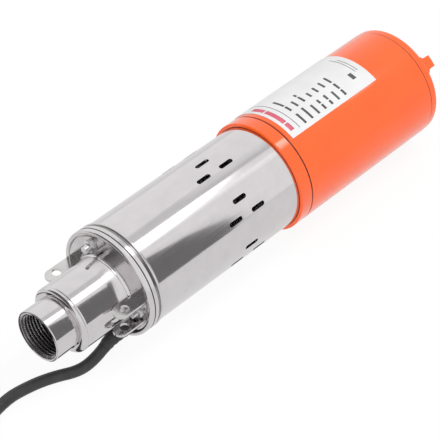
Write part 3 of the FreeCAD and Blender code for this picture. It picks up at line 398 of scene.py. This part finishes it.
def make_cards():
    for name, (stops, corners) in SOFTBOX_CARDS.items():
        mirror_card(name, [(x, y, SOFTBOX_PLACE[2]) for x, y in corners], "Y", stops)
    outline = [(SIDE_CARD_START, 0.0)] + SIDE_CARD_EDGE + [(SIDE_CARD_START, SIDE_CARD_TOP)]
    mirror_card("side_card", [(x, SIDE_CARD_Y, z) for x, z in outline], "Z", SIDE_STOPS)
    near, far = BACK_CARD_SIDES
    outline = [(near, 0.0), (far, 0.0), (far, BACK_CARD_TOP), (near, BACK_CARD_TOP)]
    mirror_card("back_card", [(BACK_CARD_X, y, z) for y, z in outline], "Z", BACK_STOPS)


make_lamp("softbox", SOFTBOX_PLACE, SOFTBOX_SIZE, SOFTBOX_WATTS, (*SOFTBOX_PLACE[:2], 0))
make_lamp("fill", FILL_PLACE, FILL_SIZE, FILL_WATTS, FILL_AIM)
make_cards()

# %% [markdown]
# ## Finishes
# Each finish is one material made of nodes, read from object coordinates.
# One coarse noise lets the colour drift between two near ones. One fine noise is the grain, which
# varies the roughness and gives a faint relief. It is drawn out along the way that a part was rolled
# or turned.

# %% Material helpers
ALL_WAYS = (1, 1, 1)
ROLLED = (0.02, 1, 1)
TURNED = (1, 0.03, 0.03)
# Almost all of a noise lies between these two values.
NOISE_LOW = 0.3
NOISE_HIGH = 0.7
DRIFT_DETAIL = 4
GRAIN_DETAIL = 2


def noise(tree, scale, detail, stretch=ALL_WAYS):
    """Noise on object coordinates, long where stretch is small. Scale is in features a metre."""
    place = add(tree, "TexCoord").outputs["Object"]
    drawn = add(tree, "Mapping", {"Vector": place, "Scale": stretch})
    made = add(tree, "TexNoise", {"Vector": drawn.outputs[0], "Scale": scale, "Detail": detail})
    return made.outputs["Fac"]


def ramp(tree, factor, first, second):
    """Blends from one colour to another as a noise rises."""
    made = add(tree, "ValToRGB", {"Fac": factor})
    ends = made.color_ramp.elements
    ends[0].position, ends[1].position = NOISE_LOW, NOISE_HIGH
    ends[0].color, ends[1].color = (*first, 1), (*second, 1)
    return made.outputs["Color"]


def spread(tree, factor, low, high):
    """Goes from one number to another as a noise rises."""
    limits = {"From Min": NOISE_LOW, "From Max": NOISE_HIGH, "To Min": low, "To Max": high}
    return add(tree, "MapRange", {"Value": factor, **limits}).outputs[0]


def lean_over(tree, edge, side, rate, blur):
    """Relief that rises with the square of the way past an edge along X, on one side of it.
    Gives the leaning normal and the roughness that comes with it."""
    place = add(tree, "SeparateXYZ", {"Vector": add(tree, "TexCoord").outputs["Object"]})
    past = work_out(tree, "MULTIPLY", work_out(tree, "SUBTRACT", place.outputs["X"], edge), side)
    past = work_out(tree, "MAXIMUM", past, 0.0)
    height = work_out(tree, "MULTIPLY", work_out(tree, "MULTIPLY", past, past), rate / 2)
    normal = add(tree, "Bump", {"Height": height, "Distance": 1.0}).outputs[0]
    return normal, work_out(tree, "MULTIPLY", past, blur)


def finish(name, first, second, rough, height, grain=(900, ALL_WAYS), settings=(), lean=None, cloud=120):
    """A material whose colour drifts between two, with its own roughness range and fine relief.
    The grain is its scale and the way it is drawn out, and cloud is the scale of the drift."""
    material, tree, shader = new_material(name)
    drift = noise(tree, cloud, DRIFT_DETAIL)
    lines = noise(tree, grain[0], GRAIN_DETAIL, grain[1])
    relief = add(tree, "Bump", {"Height": lines, "Distance": height})
    roughness = spread(tree, lines, *rough)
    if lean:
        normal, dull = lean_over(tree, *lean)
        tree.links.new(normal, relief.inputs["Normal"])
        tree.links.new(relief.outputs[0], shader.inputs["Coat Normal"])
        roughness = work_out(tree, "ADD", roughness, dull)
    tree.links.new(ramp(tree, drift, first, second), shader.inputs["Base Color"])
    tree.links.new(roughness, shader.inputs["Roughness"])
    tree.links.new(relief.outputs[0], shader.inputs["Normal"])
    for socket, value in dict(settings).items():
        shader.inputs[socket].default_value = value
    return material


def metal(name, first, second, rough, height, grain, lean=None):
    return finish(name, first, second, rough, height, grain, {"Metallic": 1.0}, lean)


# %% [markdown]
# ## Bare metals
# The tube, the head and the eyes are polished stainless steel sheet. A polished sheet keeps a
# faint grain along the way that it was rolled, and turned parts keep fine rings.
# Both come from the same helper with another grain.

# %% Metals
# Three skins lean a little in their shading. The rolled rim of the head rounds off before its place
# along X, the neck sweeps outwards behind its own, and the painted ring is a slight cone. Each lean
# is a place, the side of it that leans (1 behind, -1 before), the slope gained over a metre and
# the roughness gained over a metre.
RIM_LEAN = (-0.0990, -1, -30.0, 6.0)
NECK_LEAN = (-0.1280, 1, 34.0, 24.0)
RING_LEAN = (0.0650, -1, 1.30, 0.0)
HEAD_STEEL = ((0.645, 0.622, 0.628), (0.69, 0.666, 0.673))
HEAD_GRAIN = (900, TURNED)
polished_tube = metal(
    "polished_tube", (0.660, 0.636, 0.643), (0.70, 0.674, 0.682), (0.06, 0.12), 0.000003, (1500, ROLLED))
polished_head = metal("polished_head", *HEAD_STEEL, (0.06, 0.11), 0.000003, HEAD_GRAIN)
rolled_rim = metal("rolled_rim", *HEAD_STEEL, (0.07, 0.12), 0.000003, HEAD_GRAIN, RIM_LEAN)
flared_neck = metal("flared_neck", *HEAD_STEEL, (0.06, 0.11), 0.000003, HEAD_GRAIN, NECK_LEAN)
polished_sheet = metal(
    "polished_sheet", (0.60, 0.585, 0.585), (0.68, 0.66, 0.66), (0.12, 0.22), 0.000006, (800, ALL_WAYS))
# Painted shade: a dark steel for the thread deep in the outlet's bore and for the groove behind the head's
# rim.
painted_shade_steel = metal(
    "painted_shade_steel", (0.26, 0.25, 0.25), (0.36, 0.35, 0.345), (0.14, 0.24), 0.000006, (1400, TURNED))
zinc_nut = metal(
    "bright_zinc", (0.66, 0.66, 0.68), (0.75, 0.75, 0.76), (0.16, 0.28), 0.00001, (1400, ALL_WAYS))
turned_steel = metal(
    "turned_steel", (0.50, 0.50, 0.51), (0.58, 0.57, 0.57), (0.22, 0.34), 0.000008, (2600, TURNED))
bearing_chrome = metal(
    "bearing_chrome", (0.60, 0.60, 0.61), (0.66, 0.66, 0.66), (0.08, 0.14), 0.000002, (1800, TURNED))
winding_copper = metal(
    "winding_copper", (0.62, 0.24, 0.10), (0.80, 0.38, 0.20), (0.25, 0.4), 0.00003, (1600, ALL_WAYS))
tinned_tip = metal("tinned_tip", (0.62, 0.62, 0.62), (0.7, 0.7, 0.7), (0.3, 0.42), 0.00002, (2000, ALL_WAYS))

# %% [markdown]
# ## Paint, rubber, plastic and ceramic
# The motor is dipped in orange gloss paint, which shows its own colour where it mirrors the dark
# card and turns pale towards its edges. The rubber and the lead's sheath hardly shine.

# %% Paint and soft finishes
PAINT = ((0.93, 0.102, 0.003), (0.95, 0.114, 0.005), (0.3, 0.4), 0.000003, (500, ALL_WAYS))
PAINT_GLOSS = {"Coat Weight": 1.0, "Coat Roughness": 0.05, "Specular IOR Level": 0.15}
PAINT_CLOUD = 40
orange_paint = finish("orange_gloss_paint", *PAINT, PAINT_GLOSS, None, PAINT_CLOUD)
ring_paint = finish("orange_ring_paint", *PAINT, PAINT_GLOSS, RING_LEAN, PAINT_CLOUD)
# Painted shade: the dark red brown stands for the orange paint in the shade of the motor's narrow joints.
painted_shade_rubber = finish("painted_shade_rubber", (0.075, 0.006, 0.001), (0.090, 0.008, 0.002), (0.5, 0.6), 0.000003)
black_rubber = finish(
    "black_rubber", (0.018, 0.018, 0.019), (0.032, 0.032, 0.033), (0.45, 0.62), 0.00003, (1500, ALL_WAYS))
lead_sheath = finish(
    "lead_sheath", (0.020, 0.020, 0.021), (0.034, 0.034, 0.036), (0.42, 0.55), 0.00002, (1100, ALL_WAYS))
brown_plastic = finish("brown_plastic", (0.10, 0.045, 0.02), (0.15, 0.07, 0.035), (0.4, 0.55), 0.00001)
carbon = finish("carbon_block", (0.02, 0.02, 0.02), (0.05, 0.05, 0.05), (0.5, 0.7), 0.00002)
tie_plastic = finish("tie_plastic", (0.03, 0.03, 0.03), (0.045, 0.045, 0.045), (0.35, 0.45), 0.00001)
white_ceramic = finish("white_ceramic", (0.78, 0.77, 0.74), (0.86, 0.85, 0.82), (0.12, 0.2), 0.000004)
label_paper = finish(
    "label_paper", (0.70, 0.70, 0.70), (0.75, 0.75, 0.75), (0.32, 0.4), 0.000006, (700, ALL_WAYS), cloud=60)
core_cover = finish("core_cover", (0.30, 0.02, 0.02), (0.36, 0.03, 0.03), (0.4, 0.5), 0.00001)
magnet_grey = finish("magnet_grey", (0.09, 0.09, 0.095), (0.14, 0.14, 0.15), (0.45, 0.6), 0.00002)
dark_ink = finish("dark_ink", (0.06, 0.06, 0.065), (0.09, 0.09, 0.095), (0.45, 0.55), 0.000002)
red_ink = finish("red_ink", (0.62, 0.10, 0.16), (0.68, 0.13, 0.19), (0.45, 0.55), 0.000002)

# %% [markdown]
# ## A finish for every CAD piece
# A CAD piece whose shape is right stays as it is and only gets its finish. So do the pieces that
# the next sections replace.

# %% Give the finishes out
FINISHES = {
    polished_head: ["outlet_neck"],
    rolled_rim: ["head_cap", "delivery_plate"],
    polished_tube: ["pump_barrel"],
    polished_sheet: ["clevis_bracket", "strap_bracket", "stud_washers", "stator_tube"],
    zinc_nut: ["stud_nuts", "tie_studs", "hub_screw"],
    turned_steel: ["stator_seat", "front_shield", "seal_seat", "rear_shield", "motor_shaft", "shaft_hub",
                   "connecting_rod", "screw_rotor", "armature_core"],
    bearing_chrome: ["front_bearing_outer", "rear_bearing_outer", "front_bearing_inner", "rear_bearing_inner",
                     "front_bearing_balls", "rear_bearing_balls", "brush_springs"],
    orange_paint: ["motor_casing", "end_cap"],
    ring_paint: ["front_ring"],
    black_rubber: ["cap_gasket", "head_seal_ring", "stator_gasket", "stator_rubber", "cable_gland",
                   "lead_grommet", "shield_seal_ring", "diaphragm", "seal_bellows", "rod_sleeve"],
    lead_sheath: ["inner_lead", "power_cable", "cable_coil", "cable_tail"],
    white_ceramic: ["seal_ring"],
    brown_plastic: ["brush_holder"],
    carbon: ["brushes"],
    magnet_grey: ["magnets"],
    winding_copper: ["armature_windings", "commutator"],
    tie_plastic: ["coil_tie"],
    label_paper: ["label_plate"],
    core_cover: ["cable_cores"],
    tinned_tip: ["core_tips"],
}


def give_finishes():
    given = set()
    for material, names in FINISHES.items():
        for name in names:
            mesh = nodes[name].data
            mesh.materials.clear()
            mesh.materials.append(material)
            given.add(name)
    return sorted(set(nodes) - given)


lead.data.materials.append(lead_sheath)
print("pieces with no finish yet:", give_finishes())

# %% [markdown]
# ## Round shapes
# Round pieces are skins over rings of points. A clock angle says where a point lies round an axis
# along X: it turns from straight up towards the side that faces the camera.

# %% Shape helpers
PUMP_AXIS = (0.0, 0.0407)
OUTLET_AXIS = (-0.0012, 0.0398)
SHARP_ANGLE = math.radians(32)
SAME_PLACE = 1e-7


def clocked(radius, clock, axis):
    """Y and Z at a distance from an axis along X. The clock angle turns from up towards -Y."""
    angle = math.radians(clock)
    return axis[0] - radius * math.sin(angle), axis[1] + radius * math.cos(angle)


def ring_mesh(name, rings, closed):
    """A skin over rings of points, with its ends shut or joined to each other."""
    build = bmesh.new()
    rows = [[build.verts.new(point) for point in ring] for ring in rings]
    pairs = list(zip(rows, rows[1:])) + ([(rows[-1], rows[0])] if closed else [])
    for low, high in pairs:
        for i in range(len(low)):
            j = (i + 1) % len(low)
            build.faces.new((low[i], low[j], high[j], high[i]))
    if not closed:
        build.faces.new(rows[0])
        build.faces.new(rows[-1])
    bmesh.ops.recalc_face_normals(build, faces=build.faces)
    mesh = bpy.data.meshes.new(name)
    build.to_mesh(mesh)
    build.free()
    return mesh


def new_object(name, data, material=None):
    made = bpy.data.objects.new(name, data)
    bpy.context.scene.collection.objects.link(made)
    if material:
        data.materials.clear()
        data.materials.append(material)
    return made


def applied(name, source, material):
    """A plain mesh piece from what an object's modifiers make. The source is removed."""
    evaluated = source.evaluated_get(bpy.context.evaluated_depsgraph_get())
    mesh = bpy.data.meshes.new_from_object(evaluated)
    bpy.data.objects.remove(source)
    return new_object(name, mesh, material)


def crease(mesh):
    """Smooth shading with sharp edges where faces meet at more than SHARP_ANGLE."""
    mesh.shade_smooth()
    mesh.set_sharp_from_angle(angle=SHARP_ANGLE)


def merged_copy(name, node):
    """A copy of a CAD piece whose vertices are shared between faces."""
    build = bmesh.new()
    build.from_mesh(nodes[node].data)
    bmesh.ops.remove_doubles(build, verts=build.verts, dist=SAME_PLACE)
    mesh = bpy.data.meshes.new(name)
    build.to_mesh(mesh)
    build.free()
    return new_object(name, mesh)


def turned_piece(name, outline, sides, material, axis):
    """A closed ring round an axis along X from its section as (along, radius) points."""
    rings = []
    for i in range(sides):
        rings.append([(along, *clocked(radius, 360 * i / sides, axis)) for along, radius in outline])
    piece = new_object(name, ring_mesh(name, rings, True), material)
    crease(piece.data)
    return piece


# %% [markdown]
# ## The thread in the outlet
# The outlet has an inside one-inch pipe thread, eleven turns to the inch, which a coupling screws
# into. The CAD model keeps the plain bore that the thread's crests stand on, so the groove is cut
# here. The cutter is one ridge wound round the bore. It starts a turn outside the mouth, so the
# first turn runs out at the face as it does on a real pipe. A second cutter makes room in the
# neck for the groove of the skin that the next step lays over it.

# %% Cut the thread
OUTLET_MOUTH = -0.17575
THREAD_PITCH = 0.00231
THREAD_END = OUTLET_MOUTH + 0.0168
THREAD_SIDES = 72
# The ridge's section as (along the axis, from the axis), from inside the bore to the groove's root.
THREAD_RIDGE = [(-0.00106, 0.01485), (-0.00016, 0.0166), (0.00016, 0.0166), (0.00106, 0.01485)]
THREAD_BORE_EDGE = 0.0167
NECK_SIDES = 192
# The room under the skin's groove, as a section of (along, radius) points.
GROOVE_ROOM = [(-0.15530, 0.0228), (-0.15330, 0.0228), (-0.15330, 0.0260), (-0.15530, 0.0260)]


def thread_cutter():
    start = OUTLET_MOUTH - THREAD_PITCH
    count = round((THREAD_END - start) / THREAD_PITCH * THREAD_SIDES)
    rings = []
    for i in range(count + 1):
        turn = i / THREAD_SIDES
        rings.append([
            (start + THREAD_PITCH * turn + along, *clocked(radius, 360 * turn, OUTLET_AXIS))
            for along, radius in THREAD_RIDGE
        ])
    return new_object("thread_cutter", ring_mesh("thread_cutter", rings, False))


def cut_away(blank, cutter):
    cut = blank.modifiers.new("cut", "BOOLEAN")
    cut.operation = "DIFFERENCE"
    cut.solver = "EXACT"
    cut.object = cutter


def cut_neck():
    """The neck with its thread and the groove's room, smooth but for its sharp edges."""
    blank = merged_copy("outlet_blank", "outlet_neck")
    cutters = [thread_cutter(), turned_piece("room_cutter", GROOVE_ROOM, NECK_SIDES, None, OUTLET_AXIS)]
    for cutter in cutters:
        cut_away(blank, cutter)
    cut = applied("outlet_cut", blank, polished_head)
    for cutter in cutters:
        bpy.data.objects.remove(cutter)
    crease(cut.data)
    cut.modifiers.new("even", "WEIGHTED_NORMAL").keep_sharp = True
    return applied("threaded_outlet", cut, polished_head)


def darken_thread(mesh):
    """Gives the faces of the thread a darker steel, which is painted shade inside the bore."""
    mesh.materials.append(painted_shade_steel)
    for face in mesh.polygons:
        x, y, z = face.center
        radius = math.hypot(y - OUTLET_AXIS[0], z - OUTLET_AXIS[1])
        if x < THREAD_END and radius < THREAD_BORE_EDGE:
            face.material_index = 1


def make_threaded_outlet():
    outlet = cut_neck()
    darken_thread(outlet.data)
    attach(outlet, "housing")
    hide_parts("outlet_neck")
    return outlet


outlet = make_threaded_outlet()
print("outlet", len(outlet.data.polygons), "faces")

# %% [markdown]
# ## The neck's skin
# The neck's front corner is oval in section and has a fine rolled groove behind it, where the
# solid has a round corner. A thin skin over the neck has both.

# %% Make the neck's skin
SKIN_FRONT = -0.15780
SKIN_END = -0.11835
SKIN_RADIUS = 0.02363
SKIN_BORE = 0.01775
SHOULDER_DEEP = 0.0024
SHOULDER_TALL = 0.0046
SHOULDER_STEPS = 14
NECK_GROOVE = (-0.15505, -0.15375)
GROOVE_DEPTH = 0.0004
GROOVE_STEPS = 8
# Two more rings close behind the groove keep the shading of the long straight skin even.
RINGS_BEHIND_GROOVE = (0.0002, 0.0005)
# The inside of the skin's section, from its end back to its front, within the neck's wall.
SKIN_BACK = [
    (SKIN_END, 0.02290), (-0.15450, 0.02280), (-0.15620, 0.02150), (-0.15720, 0.01950), (-0.15720, SKIN_BORE),
]


def shoulder_outline():
    """The section of the oval shoulder, from its flat front to the top of the neck."""
    outline = [(SKIN_FRONT, SKIN_BORE)]
    centre = SKIN_RADIUS - SHOULDER_TALL
    for i in range(SHOULDER_STEPS + 1):
        turn = math.pi / 2 * i / SHOULDER_STEPS
        along = SKIN_FRONT + SHOULDER_DEEP * (1 - math.cos(turn))
        outline.append((along, centre + SHOULDER_TALL * math.sin(turn)))
    return outline


def groove_outline():
    """The section of the groove, which is as soft as a rolled bead."""
    start, end = NECK_GROOVE
    outline = []
    for i in range(GROOVE_STEPS + 1):
        share = i / GROOVE_STEPS
        dip = GROOVE_DEPTH * math.sin(math.pi * share) ** 2
        outline.append((start + (end - start) * share, SKIN_RADIUS - dip))
    return outline + [(end + away, SKIN_RADIUS) for away in RINGS_BEHIND_GROOVE]


def make_shoulder():
    """The skin of the neck, from the flat front over the shoulder and the groove to its end."""
    outline = shoulder_outline() + groove_outline() + [(SKIN_END, SKIN_RADIUS)] + SKIN_BACK
    shoulder = turned_piece("neck_skin", outline, NECK_SIDES, flared_neck, OUTLET_AXIS)
    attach(shoulder, "housing")
    return shoulder


shoulder = make_shoulder()
print("shoulder", len(shoulder.data.polygons), "faces")

# %% [markdown]
# ## Nuts on the studs
# Three nuts hold the head. One nut is drawn with its chamfers and its washer face, and
# a node tree sets it on each stud and turns it to face outwards.

# %% Make the nuts
STUD_CIRCLE = 0.030
STUD_CLOCKS = (-22, 92, 216)
NUT_SEATS = (-0.11435, -0.11435, -0.11255)
NUT_FLATS = 0.008
NUT_HEIGHT = 0.004
NUT_BORE = 0.00252
NUT_SIDES = 48
NUT_SLOPE = math.tan(math.radians(30))
# The flat face inside the chamfer, as a share of the width across the flats.
NUT_FACE = 0.97
NUT_LEAD_IN = 0.0004


def new_tree(name, inputs):
    """A tree with a geometry input and output, and named inputs of its own."""
    tree = bpy.data.node_groups.new(name, "GeometryNodeTree")
    tree.interface.new_socket("Geometry", in_out="INPUT", socket_type="NodeSocketGeometry")
    for label, kind in inputs.items():
        tree.interface.new_socket(label, in_out="INPUT", socket_type="NodeSocket" + kind)
    tree.interface.new_socket("Geometry", in_out="OUTPUT", socket_type="NodeSocketGeometry")
    return tree, tree.nodes.new("NodeGroupInput").outputs, tree.nodes.new("NodeGroupOutput").inputs


def step(tree, kind, values=(), **settings):
    """A node of a geometry tree. Its sockets are given by name or number, as a value or a link."""
    node = tree.nodes.new(kind)
    for name, value in settings.items():
        setattr(node, name, value)
    for name, value in dict(values).items():
        if isinstance(value, bpy.types.NodeSocket):
            tree.links.new(value, node.inputs[name])
        else:
            node.inputs[name].default_value = value
    return node.outputs


def run_tree(name, base, tree, values, material):
    """The tree's result on a base object, as a plain mesh."""
    holder = new_object(name + "_base", base)
    modifier = holder.modifiers.new(name, "NODES")
    modifier.node_group = tree
    for item in tree.interface.items_tree:
        if item.in_out == "INPUT" and item.name in values:
            modifier[item.identifier] = values[item.name]
    return applied(name, holder, material)


def nut_radius(clock):
    """Distance from the nut's middle to its flat side, along a clock angle."""
    return NUT_FLATS / 2 / math.cos(math.radians((clock + 30) % 60 - 30))


def nut_mesh():
    """One nut round X, standing on X = 0 and reaching to -X, with both its faces chamfered."""
    flat = NUT_FLATS / 2 * NUT_FACE
    outline = [
        lambda clock: (0, NUT_BORE),
        lambda clock: (0, flat),
        lambda clock: (-(nut_radius(clock) - flat) * NUT_SLOPE, nut_radius(clock)),
        lambda clock: (-NUT_HEIGHT + (nut_radius(clock) - flat) * NUT_SLOPE, nut_radius(clock)),
        lambda clock: (-NUT_HEIGHT, flat),
        lambda clock: (-NUT_HEIGHT, NUT_BORE + NUT_LEAD_IN),
        lambda clock: (-NUT_HEIGHT + NUT_LEAD_IN, NUT_BORE),
    ]
    rings = [[] for _ in outline]
    for clock in [360 * i / NUT_SIDES for i in range(NUT_SIDES)]:
        for ring, spot in zip(rings, outline):
            along, radius = spot(clock)
            ring.append((along, *clocked(radius, clock, (0, 0))))
    mesh = ring_mesh("nut_shape", rings, True)
    crease(mesh)
    return mesh


def nut_tree():
    """Instances the given nut on every point and turns it by the point's own angle."""
    tree, given, result = new_tree("nuts_on_studs", {"Nut": "Object", "Finish": "Material"})
    nut = step(tree, "GeometryNodeObjectInfo", {"Object": given["Nut"]})
    angle = step(tree, "GeometryNodeInputNamedAttribute", {"Name": "turn"}, data_type="FLOAT")
    turn = step(tree, "ShaderNodeCombineXYZ", {"X": angle["Attribute"]})
    placed = step(tree, "GeometryNodeInstanceOnPoints", {
        "Points": given["Geometry"], "Instance": nut["Geometry"], "Rotation": turn["Vector"],
    })
    real = step(tree, "GeometryNodeRealizeInstances", {"Geometry": placed["Instances"]})
    dressed = step(tree, "GeometryNodeSetMaterial", {
        "Geometry": real["Geometry"], "Material": given["Finish"],
    })
    tree.links.new(dressed["Geometry"], result["Geometry"])
    return tree


def make_nuts():
    shape = new_object("nut_shape", nut_mesh(), zinc_nut)
    seats = bpy.data.meshes.new("nut_seats")
    places = [(x, *clocked(STUD_CIRCLE, clock, PUMP_AXIS)) for x, clock in zip(NUT_SEATS, STUD_CLOCKS)]
    seats.from_pydata(places, [], [])
    turns = seats.attributes.new("turn", "FLOAT", "POINT")
    turns.data.foreach_set("value", [math.radians(clock) for clock in STUD_CLOCKS])
    nuts = run_tree("lock_nuts", seats, nut_tree(), {"Nut": shape, "Finish": zinc_nut}, zinc_nut)
    bpy.data.objects.remove(shape)
    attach(nuts, "housing")
    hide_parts("stud_nuts")
    return nuts


nuts = make_nuts()
print("nuts", len(nuts.data.polygons), "faces")

# %% [markdown]
# ## Print on the label
# The label is white and printed with a red heading, a rule and rows in two columns. The print here is
# generic: every word is one plain bar, so nothing can be read. Each bar is an arc round the casing.
# A node tree widens the arcs along the pump and gives them the thickness of the ink.

# %% Print the label
LABEL_RADIUS = 0.04105
INK_THICKNESS = 0.00003
ARC_STEP = 2.0
INK_SAME_PLACE = 1e-6
ROW_START = 0.05675
ROW_SPACING = 0.00675
ROW_HEIGHT = 0.0019
ROW_INDENT = 22.0
VALUE_INDENT = 3.0
WORD_GAP = 1.6
# A place along X, the clock that it starts at, and widths in degrees.
HEADING = (0.0440, 20.0, (9, 24, 16))
HEADING_HEIGHT = 0.0036
RULES = [(0.0512, ROW_INDENT, 72), (0.1185, 8.0, 34), (0.1208, 8.0, 26)]
RULE_HEIGHT = 0.0005
MARK = (0.1118, 14.0, 8)
MARK_HEIGHT = 0.0034
# Widths of the words in degrees, a row at a time: the left column, then the right.
ROWS = [
    ((13,), (8, 14)),
    ((15,), (9,)),
    ((12,), (9, 4)),
    ((6, 5), (7,)),
    ((5, 6), (8,)),
    ((11,), (9,)),
    ((7, 8), (10,)),
]


def arc_mesh(name, arcs):
    """Edges round the casing. Each arc is given as its place along X, its first clock and its width."""
    points, edges = [], []
    for along, start, width in arcs:
        count = max(1, round(width / ARC_STEP))
        first = len(points)
        clocks = [start - width * i / count for i in range(count + 1)]
        points += [(along, *clocked(LABEL_RADIUS, clock, PUMP_AXIS)) for clock in clocks]
        edges += [(first + i, first + i + 1) for i in range(count)]
    mesh = bpy.data.meshes.new(name)
    mesh.from_pydata(points, edges, [])
    return mesh


def print_tree():
    """Widens edges along X into strips and thickens the strips outwards into closed ink."""
    inputs = {"Row height": "Float", "Ink depth": "Float", "Ink": "Material"}
    tree, given, result = new_tree("printed_rows", inputs)
    aside = step(tree, "ShaderNodeCombineXYZ", {"X": given["Row height"]})
    strip = step(tree, "GeometryNodeExtrudeMesh", {
        "Mesh": given["Geometry"], "Offset": aside["Vector"], "Offset Scale": 1.0,
    }, mode="EDGES")
    raised = step(tree, "GeometryNodeExtrudeMesh", {
        "Mesh": strip["Mesh"], "Offset Scale": given["Ink depth"], "Individual": False,
    }, mode="FACES")
    under = step(tree, "GeometryNodeFlipFaces", {"Mesh": strip["Mesh"]})
    join = tree.nodes.new("GeometryNodeJoinGeometry")
    tree.links.new(raised["Mesh"], join.inputs[0])
    tree.links.new(under["Mesh"], join.inputs[0])
    shut = step(tree, "GeometryNodeMergeByDistance", {
        "Geometry": join.outputs["Geometry"], "Distance": INK_SAME_PLACE,
    })
    real = step(tree, "GeometryNodeRealizeInstances", {"Geometry": shut["Geometry"]})
    dressed = step(tree, "GeometryNodeSetMaterial", {"Geometry": real["Geometry"], "Material": given["Ink"]})
    tree.links.new(dressed["Geometry"], result["Geometry"])
    return tree


def words(along, indent, widths):
    """Arcs of one row's words, each a small gap after the last."""
    arcs = []
    for width in widths:
        arcs.append((along, indent, width))
        indent -= width + WORD_GAP
    return arcs


def make_print(name, tree, arcs, height, ink):
    values = {"Row height": height, "Ink depth": INK_THICKNESS, "Ink": ink}
    printed = run_tree(name, arc_mesh(name, arcs), tree, values, ink)
    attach(printed, "housing")
    return printed


def row_arcs():
    arcs = []
    for i, (left, right) in enumerate(ROWS):
        along = ROW_START + i * ROW_SPACING
        arcs += words(along, ROW_INDENT, left) + words(along, VALUE_INDENT, right)
    return arcs


printing = print_tree()
prints = [
    make_print("label_heading", printing, words(*HEADING), HEADING_HEIGHT, red_ink),
    make_print("label_rows", printing, row_arcs(), ROW_HEIGHT, dark_ink),
    make_print("label_rules", printing, RULES, RULE_HEIGHT, dark_ink),
    make_print("label_mark", printing, [MARK], MARK_HEIGHT, dark_ink),
]
print("print", sum(len(piece.data.polygons) for piece in prints), "faces")

# %% [markdown]
# ## Painted shade in the motor's joints
# The tube, the painted ring, the casing and the end cap meet at narrow joints. Each shows a thin
# ring of rubber under the paint, whose dark red brown is painted shade: the orange paint as it looks
# in the joint. The groove behind the head's rim holds a ring of dull, dark steel, which is painted shade too.

# %% Make the rings of painted shade
# Rings of painted shade, dark red brown, in the motor's narrow joints.
# Each row is where a ring starts and ends along X, and its inner and outer radius.
JOINT_SHADE_RINGS = [
    (0.02705, 0.02725, 0.03803, 0.03832),
    (0.03690, 0.03790, 0.03811, 0.04048),
    (0.16225, 0.16268, 0.03850, 0.04050),
]
# A ring of dull, dark steel fills the groove behind the head's rim as painted shade.
GROOVE_SHADE_RING = (-0.10634, -0.10416, 0.03700, 0.03795)
SHADE_RING_SIDES = 96


def make_ring(name, start, end, inner, outer, material, slot):
    outline = [(start, inner), (end, inner), (end, outer), (start, outer)]
    piece = turned_piece(name, outline, SHADE_RING_SIDES, material, PUMP_AXIS)
    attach(piece, "housing")
    return piece


for number, sizes in enumerate(JOINT_SHADE_RINGS, 1):
    make_ring("joint_gasket_" + str(number), *sizes, painted_shade_rubber, "black_rubber")
make_ring("head_groove_ring", *GROOVE_SHADE_RING, painted_shade_steel, "plain_steel")

# %% [markdown]
# ## The lead's boot
# A ribbed rubber boot keeps the lead from bending sharply where it leaves the gland. It follows
# the lead's own spline, tapers down to it and sits a little below it at the gland.

# %% Make the boot
BOOT_START = -0.1146
BOOT_LENGTH = 0.022
BOOT_RADII = (0.0062, 0.0041)
BOOT_SHIFT = Vector((0, -0.00040, -0.00070))
BOOT_RIBS = 5
BOOT_RIB_DEPTH = 0.0002
# Each rib has two points on its top and two in the dip behind it.
RIB_DIPS = (0, 0, 1, 1)
BOOT_GRIP = 0.0001
BOOT_SIDES = 28


def place_on(line, wanted):
    """Point and direction at a distance along a line of points."""
    for a, b in zip(line, line[1:]):
        run = (b - a).length
        if wanted <= run:
            return a.lerp(b, wanted / run), (b - a).normalized()
        wanted -= run
    return line[-1], (line[-1] - line[-2]).normalized()


def boot_outline():
    """Rings as (distance along the boot, radius): outside from the gland, then back inside."""
    wide, narrow = BOOT_RADII
    count = len(RIB_DIPS) * BOOT_RIBS
    outside = []
    for i in range(count + 1):
        part = i / count
        dip = BOOT_RIB_DEPTH * RIB_DIPS[i % len(RIB_DIPS)]
        outside.append((part * BOOT_LENGTH, wide + (narrow - wide) * part - dip))
    inside = LEAD_DIAMETER / 2 - BOOT_GRIP
    return outside + [(BOOT_LENGTH, inside), (0, inside)]


def make_boot():
    skipped = length_of([point for point in lead_line if point.x > BOOT_START])
    rings = []
    for along, radius in boot_outline():
        middle, ahead = place_on(lead_line, skipped + along)
        side = ahead.cross(Vector((0, 1, 0))).normalized()
        other = ahead.cross(side)
        middle += BOOT_SHIFT * (1 - along / BOOT_LENGTH) * (radius > LEAD_DIAMETER / 2)
        turns = [2 * math.pi * i / BOOT_SIDES for i in range(BOOT_SIDES)]
        rings.append([middle + (side * math.cos(turn) + other * math.sin(turn)) * radius for turn in turns])
    boot = new_object("lead_boot", ring_mesh("lead_boot", rings, True), black_rubber)
    crease(boot.data)
    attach(boot, "housing")
    return boot


boot = make_boot()
print("boot", len(boot.data.polygons), "faces")
